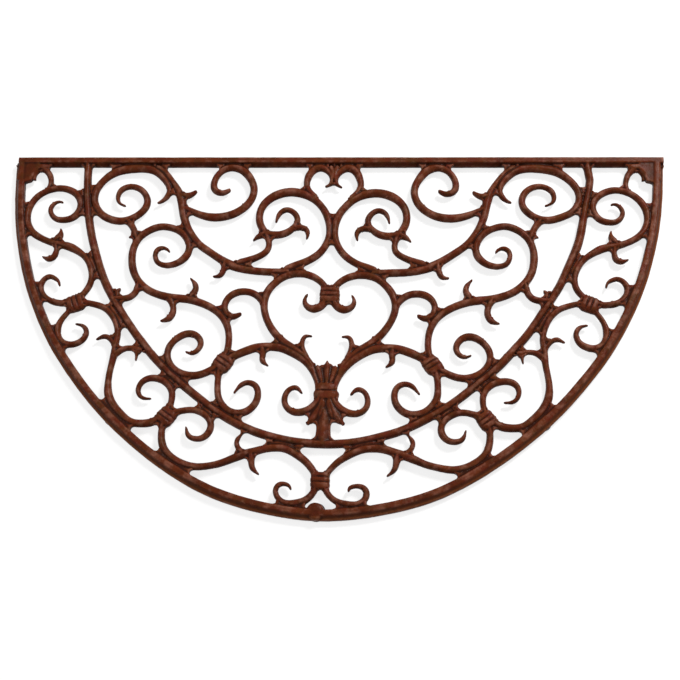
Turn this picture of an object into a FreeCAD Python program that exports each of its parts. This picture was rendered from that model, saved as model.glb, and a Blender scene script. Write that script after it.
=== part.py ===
import FreeCAD, Part
import Sketcher
import math
import os

# Half-round cast iron door mat, 30 by 17 inches.
# A straight rail runs along the door side and a rim curves round the front. A smaller arc stands
# inside the rim. Scrolls fill the border between the two and the field behind the arc, and cast
# collars bind them where they cross. The mat lies on rubber pads under round bosses.
# Frame: millimetres, +Z up, +X to the right and +Y towards the door. The origin is on the floor
# under the middle of the mat.

# Driving dimensions, in millimetres
SIZES = [
    ("mat_width", 762.0, "overall, across the corner bosses"),
    ("mat_depth", 433.8, "overall, back of the rail to the front boss"),
    ("frame_height", 10.0, "rail and rim, underside to top"),
    ("rail_width", 9.4, "straight rail, back to front"),
    ("rim_width", 9.8, "curved rim, bead and outer lip together"),
    ("arc_width", 9.7, "inner arc"),
    ("arc_height", 8.5, "inner arc, underside to ridge"),
    ("bar_width", 7.5, "scrolls at their usual width"),
    ("bar_height", 7.2, "scrolls, underside to ridge"),
    ("crest_drop", 0.8, "top of the rim down to the scrolls' ridges"),
    ("facet_sag", 0.74, "largest gap between a scroll's facet and the true curve"),
    ("frame_sag", 0.25, "the same gap on the rim and the inner arc"),
    ("facet_step", 42.0, "longest facet on a nearly straight bar"),
    ("measure_step", 0.6, "step at which curves are measured"),
    ("collar_length", 17.5, "collars, along the bars that they bind"),
    ("collar_width", 20.8, "collars, across those bars"),
    ("collar_height", 9.0, "collars, underside to crown"),
    ("collar_rise", 0.8, "collars' crowns above the scrolls' ridges"),
    ("band_length", 16.5, "double band round the sheaf"),
    ("band_width", 27.5, "double band, end to end"),
    ("boss_radius", 10.3, "round bosses over the pads"),
    ("boss_bulge", 2.6, "side and front bosses, out past the rim"),
    ("corner_bulge", 1.4, "corner bosses, out past the rim"),
    ("corner_inset", 16.8, "back of the rail to the corner bosses' middles"),
    ("front_offset", 5.6, "front boss, left of the middle"),
    ("pad_radius", 9.0, "rubber pads"),
    ("pad_height", 3.0, "rubber pads, floor to the bosses' undersides"),
]

doc = FreeCAD.newDocument("DoorMat")
sheet = doc.addObject("Spreadsheet::Sheet", "Sizes")
for row, (alias, value, note) in enumerate(SIZES, start=1):
    sheet.set("A%d" % row, alias)
    sheet.set("B%d" % row, str(value))
    sheet.setAlias("B%d" % row, alias)
    sheet.set("C%d" % row, note)
doc.recompute()


def size(alias):
    return float(sheet.get(alias))


mat_depth = size("mat_depth")
frame_height = size("frame_height")
rail_width = size("rail_width")
rim_width = size("rim_width")
arc_width = size("arc_width")
arc_height = size("arc_height")
bar_width = size("bar_width")
bar_height = size("bar_height")
facet_sag = size("facet_sag")
frame_sag = size("frame_sag")
facet_step = size("facet_step")
measure_step = size("measure_step")
collar_height = size("collar_height")
boss_radius = size("boss_radius")
boss_bulge = size("boss_bulge")
corner_bulge = size("corner_bulge")
pad_height = size("pad_height")

# Levels above the floor
frame_top = pad_height + frame_height
crest_level = frame_top - size("crest_drop")
collar_top = crest_level + size("collar_rise")

# The rail's back edge, half its length, and the rim's reach forward from that edge
back_edge = mat_depth / 2
half_width = size("mat_width") / 2 - corner_bulge
rim_depth = mat_depth - boss_bulge

# Cross-sections as shares: across, from -1 to 1 of the half width, and up, from 0 to 1 of the
# height. A bar has drafted sides and a blunt ridge.
BAR_SECTION_SHARES = [(-1, 0), (1, 0), (0.88, 0.46), (0, 1), (-0.88, 0.46)]
# The rim, from its inner edge (-1) to its outer edge (1): a round bead, a step and a low lip
RIM_SECTION_SHARES = [(-1, 0), (1, 0), (0.93, 0.5), (0.53, 0.57), (0.38, 0.86), (0.13, 1),
                      (-0.6, 1), (-0.89, 0.82)]
# The rail, from its back edge (0) to its front edge (1): a flat bead, then a slope
RAIL_SECTION_SHARES = [(0, 0), (1, 0), (0.93, 0.45), (0.64, 1), (0.12, 1), (0.03, 0.9)]

# Middle line of the rim from the front round to the rail: shares of its reach to the side and of
# its reach forward
RIM_SHARES = [(0, 1), (0.1107, 0.9918), (0.2243, 0.9712), (0.3292, 0.9399), (0.4289, 0.8933),
              (0.5168, 0.8407), (0.6005, 0.7808), (0.6791, 0.7138), (0.7511, 0.6394), (0.8176, 0.5595),
              (0.8739, 0.4726), (0.9208, 0.3807), (0.9557, 0.2847), (0.9805, 0.1866), (0.9938, 0.0881),
              (1, 0)]
# The same for the inner arc, as shares of half_width and of rim_depth
ARC_SHARES = [(0, 0.8097), (0.1013, 0.8021), (0.2133, 0.7737), (0.3013, 0.7324),
              (0.3933, 0.6744), (0.48, 0.6094), (0.5572, 0.5345), (0.6256, 0.4523),
              (0.6728, 0.3819), (0.7125, 0.3033), (0.7443, 0.2176), (0.7629, 0.1354),
              (0.7723, 0.0603), (0.7752, 0)]
# Place of the side bosses round the rim, from the front (0) to the rail (1)
SIDE_BOSS_SHARE = 0.425
# Bosses and pads have this many flat sides
ROUND_SIDES = 24

# Scrolls of the left half. Each stroke is a run of points, given as (share of half_width out from
# the middle, share of rim_depth forward from the straight edge), and its widths as shares of
# bar_width, spread evenly from the first point to the last. A scroll's first stroke is its stem.
SCROLL_SHARES = {
    "border_scroll_upper": [
        ([(0.839, 0.135), (0.856, 0.133), (0.873, 0.145), (0.877, 0.160), (0.869, 0.175),
          (0.853, 0.186), (0.832, 0.188), (0.811, 0.184), (0.793, 0.171), (0.784, 0.152),
          (0.785, 0.132), (0.798, 0.111), (0.824, 0.096), (0.856, 0.091), (0.888, 0.097),
          (0.918, 0.113), (0.939, 0.138), (0.947, 0.166), (0.944, 0.194), (0.927, 0.222),
          (0.899, 0.241), (0.869, 0.253), (0.840, 0.260), (0.808, 0.266), (0.776, 0.280),
          (0.749, 0.299), (0.732, 0.323), (0.724, 0.351), (0.729, 0.380), (0.744, 0.404),
          (0.762, 0.424)],
         (0.2, 0.67, 0.8, 0.93, 1.07, 1.07, 1.07, 0.93, 0.87, 0.93, 0.93, 1, 1, 0.93, 1.07, 1.2,
          0.93, 0.93, 0.93, 0.87, 0.87)),
        ([(0.851, 0.250), (0.836, 0.234), (0.837, 0.214)],
         (1.2, 0.93, 0.16)),
        ([(0.845, 0.258), (0.843, 0.279), (0.847, 0.295), (0.861, 0.304), (0.885, 0.297)],
         (0.93, 0.73, 0.87, 0.8, 0.16)),
        ([(0.741, 0.288), (0.7275, 0.3115), (0.715, 0.335), (0.7117, 0.3467)],
         (0.4, 0.67, 0.6, 0.27)),
    ],
    "corner_hook": [
        ([(0.896, 0.103), (0.887, 0.084), (0.888, 0.063), (0.897, 0.044), (0.918, 0.029),
          (0.944, 0.025)],
         (0.87, 0.8, 0.87, 0.93, 1.2)),
        ([(0.925, 0.024), (0.937, 0.035), (0.943, 0.050), (0.937, 0.066)],
         (1.2, 1.1, 0.8, 0.15)),
        ([(0.968, 0.058), (0.952, 0.058), (0.940, 0.062)],
         (1.2, 0.95, 0.4)),
    ],
    "border_arch": [
        ([(0.757, 0.431), (0.730, 0.430), (0.702, 0.435), (0.675, 0.444), (0.651, 0.463),
          (0.635, 0.488), (0.627, 0.516), (0.630, 0.544), (0.636, 0.577), (0.644, 0.610),
          (0.646, 0.642), (0.639, 0.678), (0.622, 0.711), (0.592, 0.740), (0.563, 0.758),
          (0.531, 0.762), (0.501, 0.758), (0.477, 0.746)],
         (0.93, 0.87, 0.93, 0.93, 0.87, 0.87, 0.93, 0.93, 0.8, 0.87, 1.07, 1.2, 1.2, 1.13, 1.07,
          1.13, 1.07)),
        ([(0.632, 0.549), (0.646, 0.533), (0.664, 0.525), (0.690, 0.535)],
         (0.8, 0.73, 0.67, 0.16)),
        ([(0.632, 0.572), (0.616, 0.562), (0.595, 0.556), (0.571, 0.558), (0.549, 0.565)],
         (0.93, 0.8, 0.73, 0.8, 1.07)),
        ([(0.565, 0.558), (0.565, 0.574), (0.567, 0.590)],
         (0.8, 0.53, 0.13)),
        ([(0.6587, 0.4336), (0.6523, 0.4453), (0.6333, 0.4674), (0.6187, 0.490), (0.616, 0.504)],
         (0.27, 0.73, 0.6, 0.73, 0.27)),
    ],
    "border_scroll_middle": [
        ([(0.820, 0.383), (0.824, 0.370), (0.837, 0.360), (0.853, 0.355), (0.869, 0.363),
          (0.877, 0.380), (0.873, 0.398), (0.857, 0.416), (0.832, 0.428), (0.805, 0.432),
          (0.776, 0.431)],
         (0.16, 0.6, 0.73, 0.8, 0.8, 0.8, 0.87, 0.93, 0.93)),
        ([(0.770, 0.438), (0.784, 0.457), (0.800, 0.477), (0.809, 0.498), (0.808, 0.520),
          (0.794, 0.540), (0.770, 0.549), (0.746, 0.545), (0.728, 0.532), (0.722, 0.513),
          (0.733, 0.497), (0.757, 0.491)],
         (0.8, 0.73, 0.8, 1, 0.93, 0.93, 0.87, 0.8, 0.67, 0.16)),
    ],
    "border_sweep": [
        ([(0.466, 0.746), (0.469, 0.772), (0.469, 0.797), (0.460, 0.826), (0.437, 0.849),
          (0.406, 0.865), (0.368, 0.873), (0.331, 0.870), (0.296, 0.862), (0.261, 0.849),
          (0.229, 0.838), (0.200, 0.831), (0.170, 0.824), (0.142, 0.821), (0.112, 0.823),
          (0.083, 0.835), (0.056, 0.851), (0.032, 0.871), (0.016, 0.891), (0.008, 0.908)],
         (0.93, 0.93, 1, 1.07, 1.13, 1.07, 1, 0.93, 1, 1.13, 1.2, 1.07, 1.07, 1.07, 1.07, 1, 0.93,
          0.93)),
        ([(0.232, 0.835), (0.248, 0.819), (0.251, 0.803), (0.234, 0.782)],
         (0.93, 0.73, 0.67, 0.2)),
        ([(0.208, 0.833), (0.206, 0.856), (0.201, 0.874), (0.181, 0.891)],
         (1.2, 0.93, 0.73, 0.16)),
        ([(0.008, 0.908), (0.016, 0.927), (0.029, 0.944), (0.051, 0.958), (0.080, 0.964),
          (0.107, 0.961), (0.126, 0.946), (0.131, 0.930), (0.123, 0.917), (0.107, 0.914),
          (0.092, 0.919), (0.086, 0.930)],
         (0.93, 0.93, 0.93, 1, 1.07, 0.93, 0.8, 0.73, 0.73, 0.6, 0.27)),
        ([(0.164, 0.8095), (0.122, 0.8105), (0.080, 0.821), (0.067, 0.826)],
         (0.27, 0.53, 0.53, 0.27)),
    ],
    "border_hook_lower": [
        ([(0.508, 0.695), (0.531, 0.694), (0.545, 0.685), (0.550, 0.669), (0.544, 0.653),
          (0.528, 0.642), (0.506, 0.639), (0.482, 0.644), (0.462, 0.657), (0.450, 0.675),
          (0.448, 0.696), (0.454, 0.720), (0.466, 0.736)],
         (0.16, 0.53, 0.67, 0.8, 0.87, 0.93, 1, 1, 0.93, 0.93, 0.87, 0.87, 0.93)),
        ([(0.478, 0.633), (0.4515, 0.650), (0.438, 0.6685)],
         (0.27, 0.53, 0.27)),
    ],
    "border_scroll_lower": [
        ([(0.458, 0.739), (0.437, 0.732), (0.411, 0.726), (0.382, 0.724), (0.356, 0.731),
          (0.336, 0.745), (0.328, 0.763), (0.334, 0.783), (0.351, 0.797), (0.372, 0.800),
          (0.391, 0.792), (0.400, 0.768)],
         (1.07, 0.93, 0.87, 0.87, 0.93, 0.93, 0.93, 0.93, 0.87, 0.8, 0.67, 0.16)),
        ([(0.364, 0.714), (0.335, 0.729), (0.317, 0.7475)],
         (0.27, 0.53, 0.27)),
    ],
    "field_stem": [
        ([(0.555, 0.025), (0.531, 0.038), (0.506, 0.060), (0.486, 0.085), (0.473, 0.112),
          (0.466, 0.140), (0.460, 0.171), (0.449, 0.201), (0.432, 0.229), (0.407, 0.256),
          (0.376, 0.277), (0.343, 0.297), (0.309, 0.315), (0.275, 0.327), (0.237, 0.334),
          (0.200, 0.337), (0.160, 0.338), (0.123, 0.338)],
         (1.07, 0.93, 1, 1.13, 1.33, 1.2, 1.13, 1.13, 1.13, 1.07, 1.07, 1.13, 1.33, 1.13, 1.07, 1.07,
          1.07, 1.07)),
        ([(0.472, 0.112), (0.448, 0.111), (0.424, 0.097)],
         (1.33, 0.87, 0.47)),
        ([(0.320, 0.312), (0.324, 0.335), (0.335, 0.350), (0.354, 0.352)],
         (1.2, 0.87, 0.73, 0.2)),
    ],
    "field_scroll_middle": [
        ([(0.492, 0.282), (0.501, 0.273), (0.518, 0.269), (0.534, 0.279), (0.535, 0.297),
          (0.524, 0.313), (0.501, 0.320), (0.474, 0.316), (0.452, 0.304), (0.437, 0.285),
          (0.4345, 0.262), (0.445, 0.239), (0.4675, 0.219), (0.498, 0.208), (0.528, 0.206),
          (0.557, 0.215), (0.583, 0.232), (0.600, 0.255), (0.607, 0.283), (0.605, 0.314),
          (0.595, 0.344), (0.575, 0.371), (0.544, 0.394), (0.506, 0.408), (0.464, 0.417),
          (0.422, 0.421), (0.382, 0.430), (0.346, 0.445), (0.316, 0.469), (0.299, 0.497),
          (0.293, 0.530), (0.296, 0.563), (0.307, 0.591)],
         (0.27, 0.67, 0.73, 0.8, 0.93, 1.07, 1, 1, 1, 1, 1, 1, 1, 1.07, 1.07, 1.07, 1.07, 1.07, 1.13,
          1.13, 1.13, 1.07, 1.07, 1, 1, 0.93, 0.93, 1.07)),
        ([(0.414, 0.415), (0.404, 0.397), (0.403, 0.381), (0.422, 0.358)],
         (1.2, 0.87, 0.73, 0.16)),
        ([(0.480, 0.415), (0.469, 0.434), (0.466, 0.455), (0.477, 0.473), (0.503, 0.481)],
         (1.2, 0.87, 0.93, 0.87, 0.2)),
        ([(0.579, 0.375), (0.585, 0.397), (0.600, 0.412), (0.622, 0.417), (0.648, 0.417)],
         (1.07, 0.93, 0.93, 0.93, 1.07)),
        ([(0.639, 0.410), (0.640, 0.396), (0.631, 0.388)],
         (0.93, 0.73, 0.33)),
    ],
    "field_scroll_upper": [
        ([(0.544, 0.135), (0.527, 0.126), (0.512, 0.110), (0.507, 0.091), (0.516, 0.071),
          (0.535, 0.052), (0.565, 0.034), (0.603, 0.0275), (0.643, 0.0295), (0.683, 0.039),
          (0.713, 0.059), (0.7335, 0.084), (0.743, 0.112), (0.738, 0.141), (0.718, 0.167),
          (0.688, 0.183), (0.656, 0.189), (0.626, 0.184), (0.599, 0.169), (0.580, 0.148),
          (0.577, 0.123), (0.592, 0.099), (0.616, 0.086), (0.642, 0.085), (0.663, 0.097),
          (0.670, 0.117), (0.663, 0.134), (0.642, 0.144)],
         (0.27, 0.8, 0.93, 1.07, 1.07, 1.2, 1.3, 1.3, 1.2, 1, 1, 1.05, 1.1, 1.13, 1.13, 1.07, 1, 1,
          1, 0.93, 0.87, 0.8, 0.6, 0.16)),
        ([(0.630, 0.189), (0.615, 0.206), (0.605, 0.225), (0.597, 0.243)],
         (1.07, 0.93, 0.93, 1.07)),
        ([(0.605, 0.232), (0.623, 0.239)],
         (0.8, 0.16)),
    ],
    "field_scroll_back": [
        ([(0.461, 0.150), (0.434, 0.161), (0.400, 0.173), (0.363, 0.178), (0.325, 0.173),
          (0.291, 0.159), (0.264, 0.137), (0.249, 0.110), (0.249, 0.081), (0.263, 0.055),
          (0.285, 0.034), (0.315, 0.0255), (0.344, 0.032), (0.366, 0.053), (0.374, 0.078),
          (0.367, 0.097), (0.347, 0.104), (0.321, 0.093)],
         (0.93, 0.93, 1.07, 1.2, 1.2, 1.2, 1.13, 1.13, 1.07, 1.07, 1.1, 1.2, 1.15, 0.97, 0.87,
          0.93, 1, 0.87, 0.53)),
    ],
    "crown_scroll": [
        ([(0.139, 0.333), (0.110, 0.321), (0.078, 0.308), (0.045, 0.289), (0.023, 0.266),
          (0.010, 0.239), (0.008, 0.208), (0.018, 0.178), (0.036, 0.150), (0.060, 0.124),
          (0.091, 0.107), (0.126, 0.100), (0.160, 0.104), (0.192, 0.118), (0.216, 0.142),
          (0.225, 0.171), (0.220, 0.199), (0.204, 0.223), (0.192, 0.246), (0.193, 0.272),
          (0.213, 0.290), (0.245, 0.303), (0.283, 0.314)],
         (1.2, 1.2, 1.07, 1.07, 1, 1, 1.07, 1.07, 1, 1.07, 1.2, 1.33, 1.33, 1.27, 1.13, 1.07, 1.07,
          1.07, 0.87, 0.87, 0.93, 1.07, 1.2)),
        ([(0.210, 0.225), (0.176, 0.229), (0.146, 0.225), (0.122, 0.211), (0.108, 0.192),
          (0.111, 0.173), (0.128, 0.157), (0.148, 0.155), (0.165, 0.168), (0.173, 0.193)],
         (1.07, 1.13, 1.07, 1, 0.87, 0.87, 0.8, 0.8, 0.67, 0.2)),
        ([(0.115, 0.209), (0.092, 0.208), (0.075, 0.220), (0.077, 0.242)],
         (0.93, 0.8, 0.73, 0.2)),
        ([(0.205, 0.227), (0.224, 0.234), (0.240, 0.247)],
         (1.07, 0.8, 0.13)),
    ],
    "top_heart": [
        ([(0.051, 0.121), (0.071, 0.103), (0.083, 0.081), (0.082, 0.060), (0.072, 0.040),
          (0.048, 0.026), (0.027, 0.031), (0.012, 0.044), (0.006, 0.060), (0.011, 0.076),
          (0.027, 0.084)],
         (0.93, 0.93, 0.87, 0.93, 1.07, 1.07, 1.07, 0.87, 0.73, 0.67, 0.16)),
        ([(0.012, 0.024), (0.0035, 0.042), (0.004, 0.062)],
         (1.2, 1.2, 0.8)),
    ],
    "heart": [
        ([(0.005, 0.401), (0.017, 0.376), (0.040, 0.356), (0.070, 0.344), (0.102, 0.342),
          (0.134, 0.350), (0.161, 0.368), (0.182, 0.392), (0.192, 0.422), (0.190, 0.452),
          (0.178, 0.483), (0.157, 0.512), (0.130, 0.537), (0.099, 0.557), (0.071, 0.578),
          (0.050, 0.601), (0.033, 0.628), (0.024, 0.652)],
         (0.93, 0.93, 1, 1.07, 1.07, 1, 1.07, 1.07, 1, 1, 1.07, 1.13, 1.2, 1.07, 1, 0.93, 0.93)),
        ([(0.005, 0.401), (0.016, 0.424), (0.033, 0.439), (0.054, 0.441), (0.070, 0.430),
          (0.073, 0.415), (0.065, 0.400)],
         (0.93, 1.07, 1.13, 1.13, 0.87, 0.6, 0.2)),
        ([(0.064, 0.581), (0.074, 0.558), (0.076, 0.537), (0.066, 0.520), (0.045, 0.520)],
         (0.93, 0.8, 0.73, 0.6, 0.13)),
    ],
    "heart_loop": [
        ([(0.190, 0.431), (0.208, 0.411), (0.232, 0.398), (0.259, 0.395), (0.285, 0.401),
          (0.305, 0.417), (0.312, 0.441), (0.301, 0.466)],
         (1.07, 1, 1, 1, 1, 0.93, 0.93, 1.07)),
        ([(0.304, 0.464), (0.283, 0.466), (0.259, 0.457)],
         (1.07, 0.87, 0.47)),
    ],
    "lower_loop": [
        ([(0.301, 0.591), (0.275, 0.577), (0.245, 0.564), (0.210, 0.553), (0.173, 0.550),
          (0.139, 0.553), (0.107, 0.566), (0.076, 0.587), (0.052, 0.613), (0.038, 0.638),
          (0.031, 0.662)],
         (1.2, 1.13, 1.2, 1.2, 1.2, 1.2, 1.2, 1.07, 0.93, 0.93)),
        ([(0.192, 0.553), (0.190, 0.574), (0.190, 0.588), (0.171, 0.604)],
         (1.2, 0.87, 0.73, 0.16)),
    ],
    "field_scroll_lower": [
        ([(0.420, 0.565), (0.403, 0.570), (0.386, 0.563), (0.376, 0.546), (0.383, 0.527),
          (0.403, 0.516), (0.427, 0.518), (0.450, 0.531), (0.468, 0.552), (0.472, 0.577),
          (0.462, 0.601), (0.440, 0.620), (0.411, 0.630), (0.379, 0.630), (0.350, 0.621),
          (0.315, 0.603)],
         (0.16, 0.67, 0.8, 0.93, 1, 1, 0.93, 0.93, 0.93, 1, 1.07, 1.13, 1.07, 1.07, 1.07, 1.13)),
    ],
    "field_curl": [
        ([(0.312, 0.605), (0.316, 0.633), (0.315, 0.664), (0.309, 0.692), (0.289, 0.718),
          (0.259, 0.730), (0.229, 0.726), (0.206, 0.708), (0.197, 0.685), (0.202, 0.661),
          (0.221, 0.649), (0.244, 0.653), (0.267, 0.678)],
         (0.93, 0.87, 0.87, 0.93, 1.07, 1.07, 1.07, 1, 0.93, 0.87, 0.8, 0.67, 0.16)),
    ],
}

# Collars: middle, as the scrolls' points, and the direction of the bound bars in degrees
COLLAR_SHARES = {
    "upper_collar": (0.765, 0.432, 21),
    "lower_collar": (0.460, 0.743, 54),
    "field_collar": (0.305, 0.596, 55),
}
MIDDLE_COLLAR_SHARES = {
    "heart_collar": (0, 0.403, 90),
    "front_collar": (0, 0.905, 90),
}
# A collar along its bars, from -0.5 to 0.5 of its length: shares of its width and height
COLLAR_RUN_SHARES = [(-0.5, 0.91, 0.95), (-0.2, 0.86, 0.94), (-0.13, 1, 1), (0.13, 1, 1),
                     (0.2, 0.86, 0.94), (0.5, 0.91, 0.95)]
COLLAR_SECTION_SHARES = [(-1, 0), (1, 0), (0.98, 0.5), (0.6, 1), (-0.6, 1), (-0.98, 0.5)]

# Sheaf at the middle: the middle blade, the blades left of it, and the leaf and curl below them
MIDDLE_BLADE_SHARES = ([(0, 0.668), (0, 0.63), (0, 0.592)], (1, 1.15, 1.1, 0.9, 0.15))
BLADE_SHARES = [
    ([(0.012, 0.668), (0.0135, 0.63), (0.0165, 0.5985)], (0.95, 1, 1, 0.85, 0.15)),
    ([(0.0225, 0.668), (0.0275, 0.63), (0.035, 0.5985)], (0.95, 1, 1, 0.85, 0.15)),
]
SHEAF_CURL_SHARES = [
    ([(0.013, 0.675), (0.018, 0.705), (0.034, 0.73), (0.056, 0.758)], (1.2, 1.33, 1.2, 0.2)),
    ([(0.014, 0.668), (0.02, 0.69), (0.036, 0.708), (0.059, 0.722), (0.088, 0.727), (0.112, 0.714),
      (0.120, 0.692), (0.111, 0.669), (0.091, 0.662), (0.070, 0.678)],
     (1.07, 1.07, 1.07, 1, 1, 0.87, 0.73, 0.67, 0.6, 0.2)),
]
BAND_MIDDLE_SHARES = (0, 0.668, 90)
BAND_RUN_SHARES = [(-0.5, 0.86, 0.95), (-0.38, 0.97, 1), (-0.14, 0.97, 1), (-0.05, 0.86, 0.93),
                   (0.04, 1, 1), (0.38, 1, 1), (0.5, 0.88, 0.95)]
STEM_SHARES = ([(0, 0.675), (0, 0.72), (0, 0.765), (0, 0.812)], (2, 1.5, 1.7, 2.6))


def place(point, side=-1):
    """A point of the tables, on the left half of the mat or mirrored on the right."""
    return FreeCAD.Vector(side * point[0] * half_width, back_edge - point[1] * rim_depth, 0)


def smooth_curve(points):
    """A curve through the points, smooth where they are unevenly spaced too."""
    marks = [0.0]
    for first, second in zip(points, points[1:]):
        marks.append(marks[-1] + math.sqrt(first.distanceToPoint(second)))
    curve = Part.BSplineCurve()
    curve.interpolate(Points=points, Parameters=marks)
    return curve


def stations(curve):
    """(point, direction, share of the length) for each cross-section, closer in tight bends."""
    first = curve.FirstParameter
    last = curve.LastParameter
    count = math.ceil(curve.length() / measure_step)
    marks = [first + (last - first) * k / count for k in range(count + 1)]
    spots = [curve.value(mark) for mark in marks]
    runs = [0.0]
    facets = [0.0]
    for k in range(count):
        run = spots[k].distanceToPoint(spots[k + 1])
        bend = curve.curvature((marks[k] + marks[k + 1]) / 2)
        runs.append(runs[-1] + run)
        facets.append(facets[-1] + run * max(math.sqrt(bend / (8 * facet_sag)), 1 / facet_step))
    wanted = math.ceil(facets[-1])
    found = []
    k = 0
    for number in range(wanted + 1):
        goal = facets[-1] * number / wanted
        while k < count - 1 and facets[k + 1] < goal:
            k += 1
        part = min(1.0, (goal - facets[k]) / (facets[k + 1] - facets[k]))
        mark = marks[k] + (marks[k + 1] - marks[k]) * part
        run = runs[k] + (runs[k + 1] - runs[k]) * part
        direction = curve.getDN(mark, 1)
        found.append((curve.value(mark), direction, run / runs[-1]))
    return found


def spread(shares, along):
    """The value at this share of the way through evenly spread shares."""
    spot = along * (len(shares) - 1)
    low = min(int(spot), len(shares) - 2)
    part = spot - low
    return shares[low] * (1 - part) + shares[low + 1] * part


def section(point, direction, width, base, height, shares):
    """Corners of an outline square to the direction. Its first side lies level underneath."""
    across = FreeCAD.Vector(-direction.y, direction.x, 0)
    across.normalize()
    up = FreeCAD.Vector(0, 0, 1)
    return [point + across * (out * width / 2) + up * (base + rise * height)
            for out, rise in shares]


def face(*corners):
    return Part.Face(Part.makePolygon(list(corners) + [corners[0]]))


def solid_through(sections):
    """A solid with flat faces from section to section, two to a side where it may be twisted."""
    faces = [face(*sections[0]), face(*sections[-1])]
    for near, far in zip(sections, sections[1:]):
        faces.append(face(near[0], near[1], far[1], far[0]))
        for k in range(1, len(near)):
            after = (k + 1) % len(near)
            faces.append(face(near[k], near[after], far[after]))
            faces.append(face(near[k], far[after], far[k]))
    solid = Part.makeSolid(Part.makeShell(faces))
    if solid.Volume < 0:
        solid.reverse()
    return solid


def stroke(points, width_shares, top=crest_level):
    """A tapering bar, flat below and ridged above. A tip as thin as nothing is half as high."""
    base = top - bar_height
    sections = []
    for point, direction, along in stations(smooth_curve([place(p) for p in points])):
        share = spread(width_shares, along)
        height = bar_height * (1 + min(1, share)) / 2
        sections.append(section(point, direction, share * bar_width, base, height,
                                BAR_SECTION_SHARES))
    return solid_through(sections)


def largest(shape):
    return max(shape.Solids, key=lambda solid: solid.Volume)


def joined(shapes):
    return shapes[0].fuse(shapes[1:]) if len(shapes) > 1 else shapes[0]


def trimmed(shape, others):
    """The shape without the room that its neighbours take, so that they meet face to face."""
    tools = [other for other in others if shape.BoundBox.intersect(other.BoundBox)]
    rest = shape.cut(tools) if tools else shape
    return largest(rest.removeSplitter())


def mirrored(shape):
    return shape.mirror(FreeCAD.Vector(0, 0, 0), FreeCAD.Vector(1, 0, 0))


def round_the_front(shares, out, forward):
    """A curve from the rail on the right, round the front, to the rail on the left."""
    left = [FreeCAD.Vector(-side * out, back_edge - ahead * forward, 0) for side, ahead in shares]
    right = [FreeCAD.Vector(-point.x, point.y, 0) for point in left[:0:-1]]
    return smooth_curve(right + left)


def mark_at(curve, turn):
    """The parameter of the curve at a share of its left half, from the front to the rail."""
    middle = (curve.FirstParameter + curve.LastParameter) / 2
    return middle + (curve.LastParameter - middle) * turn


def curved_frame(curve, width, base, height, shares, first, last):
    """A length of the rim or of the inner arc, between two shares of its left half."""
    chord = math.sqrt(8 * frame_sag * half_width)
    count = math.ceil((last - first) * curve.length() / 2 / chord)
    sections = []
    for k in range(count + 1):
        turn = first + (last - first) * k / count
        mark = mark_at(curve, turn)
        direction = curve.getDN(mark, 1)
        if turn == 0:
            direction = FreeCAD.Vector(-1, 0, 0)
        if turn == 1:
            direction = FreeCAD.Vector(0, 1, 0)
        sections.append(section(curve.value(mark), direction, width, base, height, shares))
    return solid_through(sections)


def collar(middle, run_shares, length, width, height, top, side=-1):
    """A ribbed sleeve over the bars, set out along their direction."""
    angle = math.radians(middle[2])
    direction = FreeCAD.Vector(-side * math.cos(angle), math.sin(angle), 0)
    start = place(middle, side)
    sections = [section(start + direction * (along * length), direction, width * wide,
                        top - height, height * high, COLLAR_SECTION_SHARES)
                for along, wide, high in run_shares]
    return solid_through(sections)


def boss(centre):
    """A round boss from the pads' level to the top of the frame, with flat sides."""
    corners = []
    for k in range(ROUND_SIDES):
        angle = 2 * math.pi * k / ROUND_SIDES
        spoke = FreeCAD.Vector(math.cos(angle), math.sin(angle), 0) * boss_radius
        corners.append(centre + spoke + FreeCAD.Vector(0, 0, pad_height))
    return face(*corners).extrude(FreeCAD.Vector(0, 0, frame_height))


def add_solid(label, shape):
    found = doc.addObject("Part::Feature", label)
    found.Label = label
    found.Shape = shape
    found.Placement = FreeCAD.Placement()
    nodes.append(found)
    return found


def add_mirror(label, source):
    found = doc.addObject("Part::Mirroring", label)
    found.Label = label
    found.Source = source
    found.Normal = FreeCAD.Vector(1, 0, 0)
    nodes.append(found)
    return found


nodes = []

# Straight rail: one section, drawn out along X
rail = doc.addObject("PartDesign::Body", "back_rail")
rail.Label = "back_rail"
sketch = rail.newObject("Sketcher::SketchObject", "rail_section")
plane = [item for item in rail.Origin.OriginFeatures if item.Role == "YZ_Plane"][0]
sketch.AttachmentSupport = [(plane, "")]
sketch.MapMode = "FlatFace"
corners = [(back_edge - out * rail_width, pad_height + rise * frame_height)
           for out, rise in RAIL_SECTION_SHARES]
for k, (y, z) in enumerate(corners):
    y_next, z_next = corners[(k + 1) % len(corners)]
    sketch.addGeometry(Part.LineSegment(FreeCAD.Vector(y, z, 0), FreeCAD.Vector(y_next, z_next, 0)))
for k in range(len(corners)):
    sketch.addConstraint(Sketcher.Constraint("Coincident", k, 2, (k + 1) % len(corners), 1))
for k, (out, rise) in enumerate(RAIL_SECTION_SHARES):
    across = sketch.addConstraint(Sketcher.Constraint("DistanceX", -1, 1, k, 1, corners[k][0]))
    sketch.setExpression("Constraints[%d]" % across,
                         "Sizes.mat_depth / 2 - %g * Sizes.rail_width" % out)
    upward = sketch.addConstraint(Sketcher.Constraint("DistanceY", -1, 1, k, 1, corners[k][1]))
    sketch.setExpression("Constraints[%d]" % upward,
                         "Sizes.pad_height + %g * Sizes.frame_height" % rise)
pad = rail.newObject("PartDesign::Pad", "rail_length")
pad.Profile = sketch
pad.SideType = "Symmetric"
pad.setExpression("Length", "Sizes.mat_width - 2 * Sizes.corner_bulge")
doc.recompute()
rail_shape = rail.Shape
nodes.append(rail)

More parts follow.
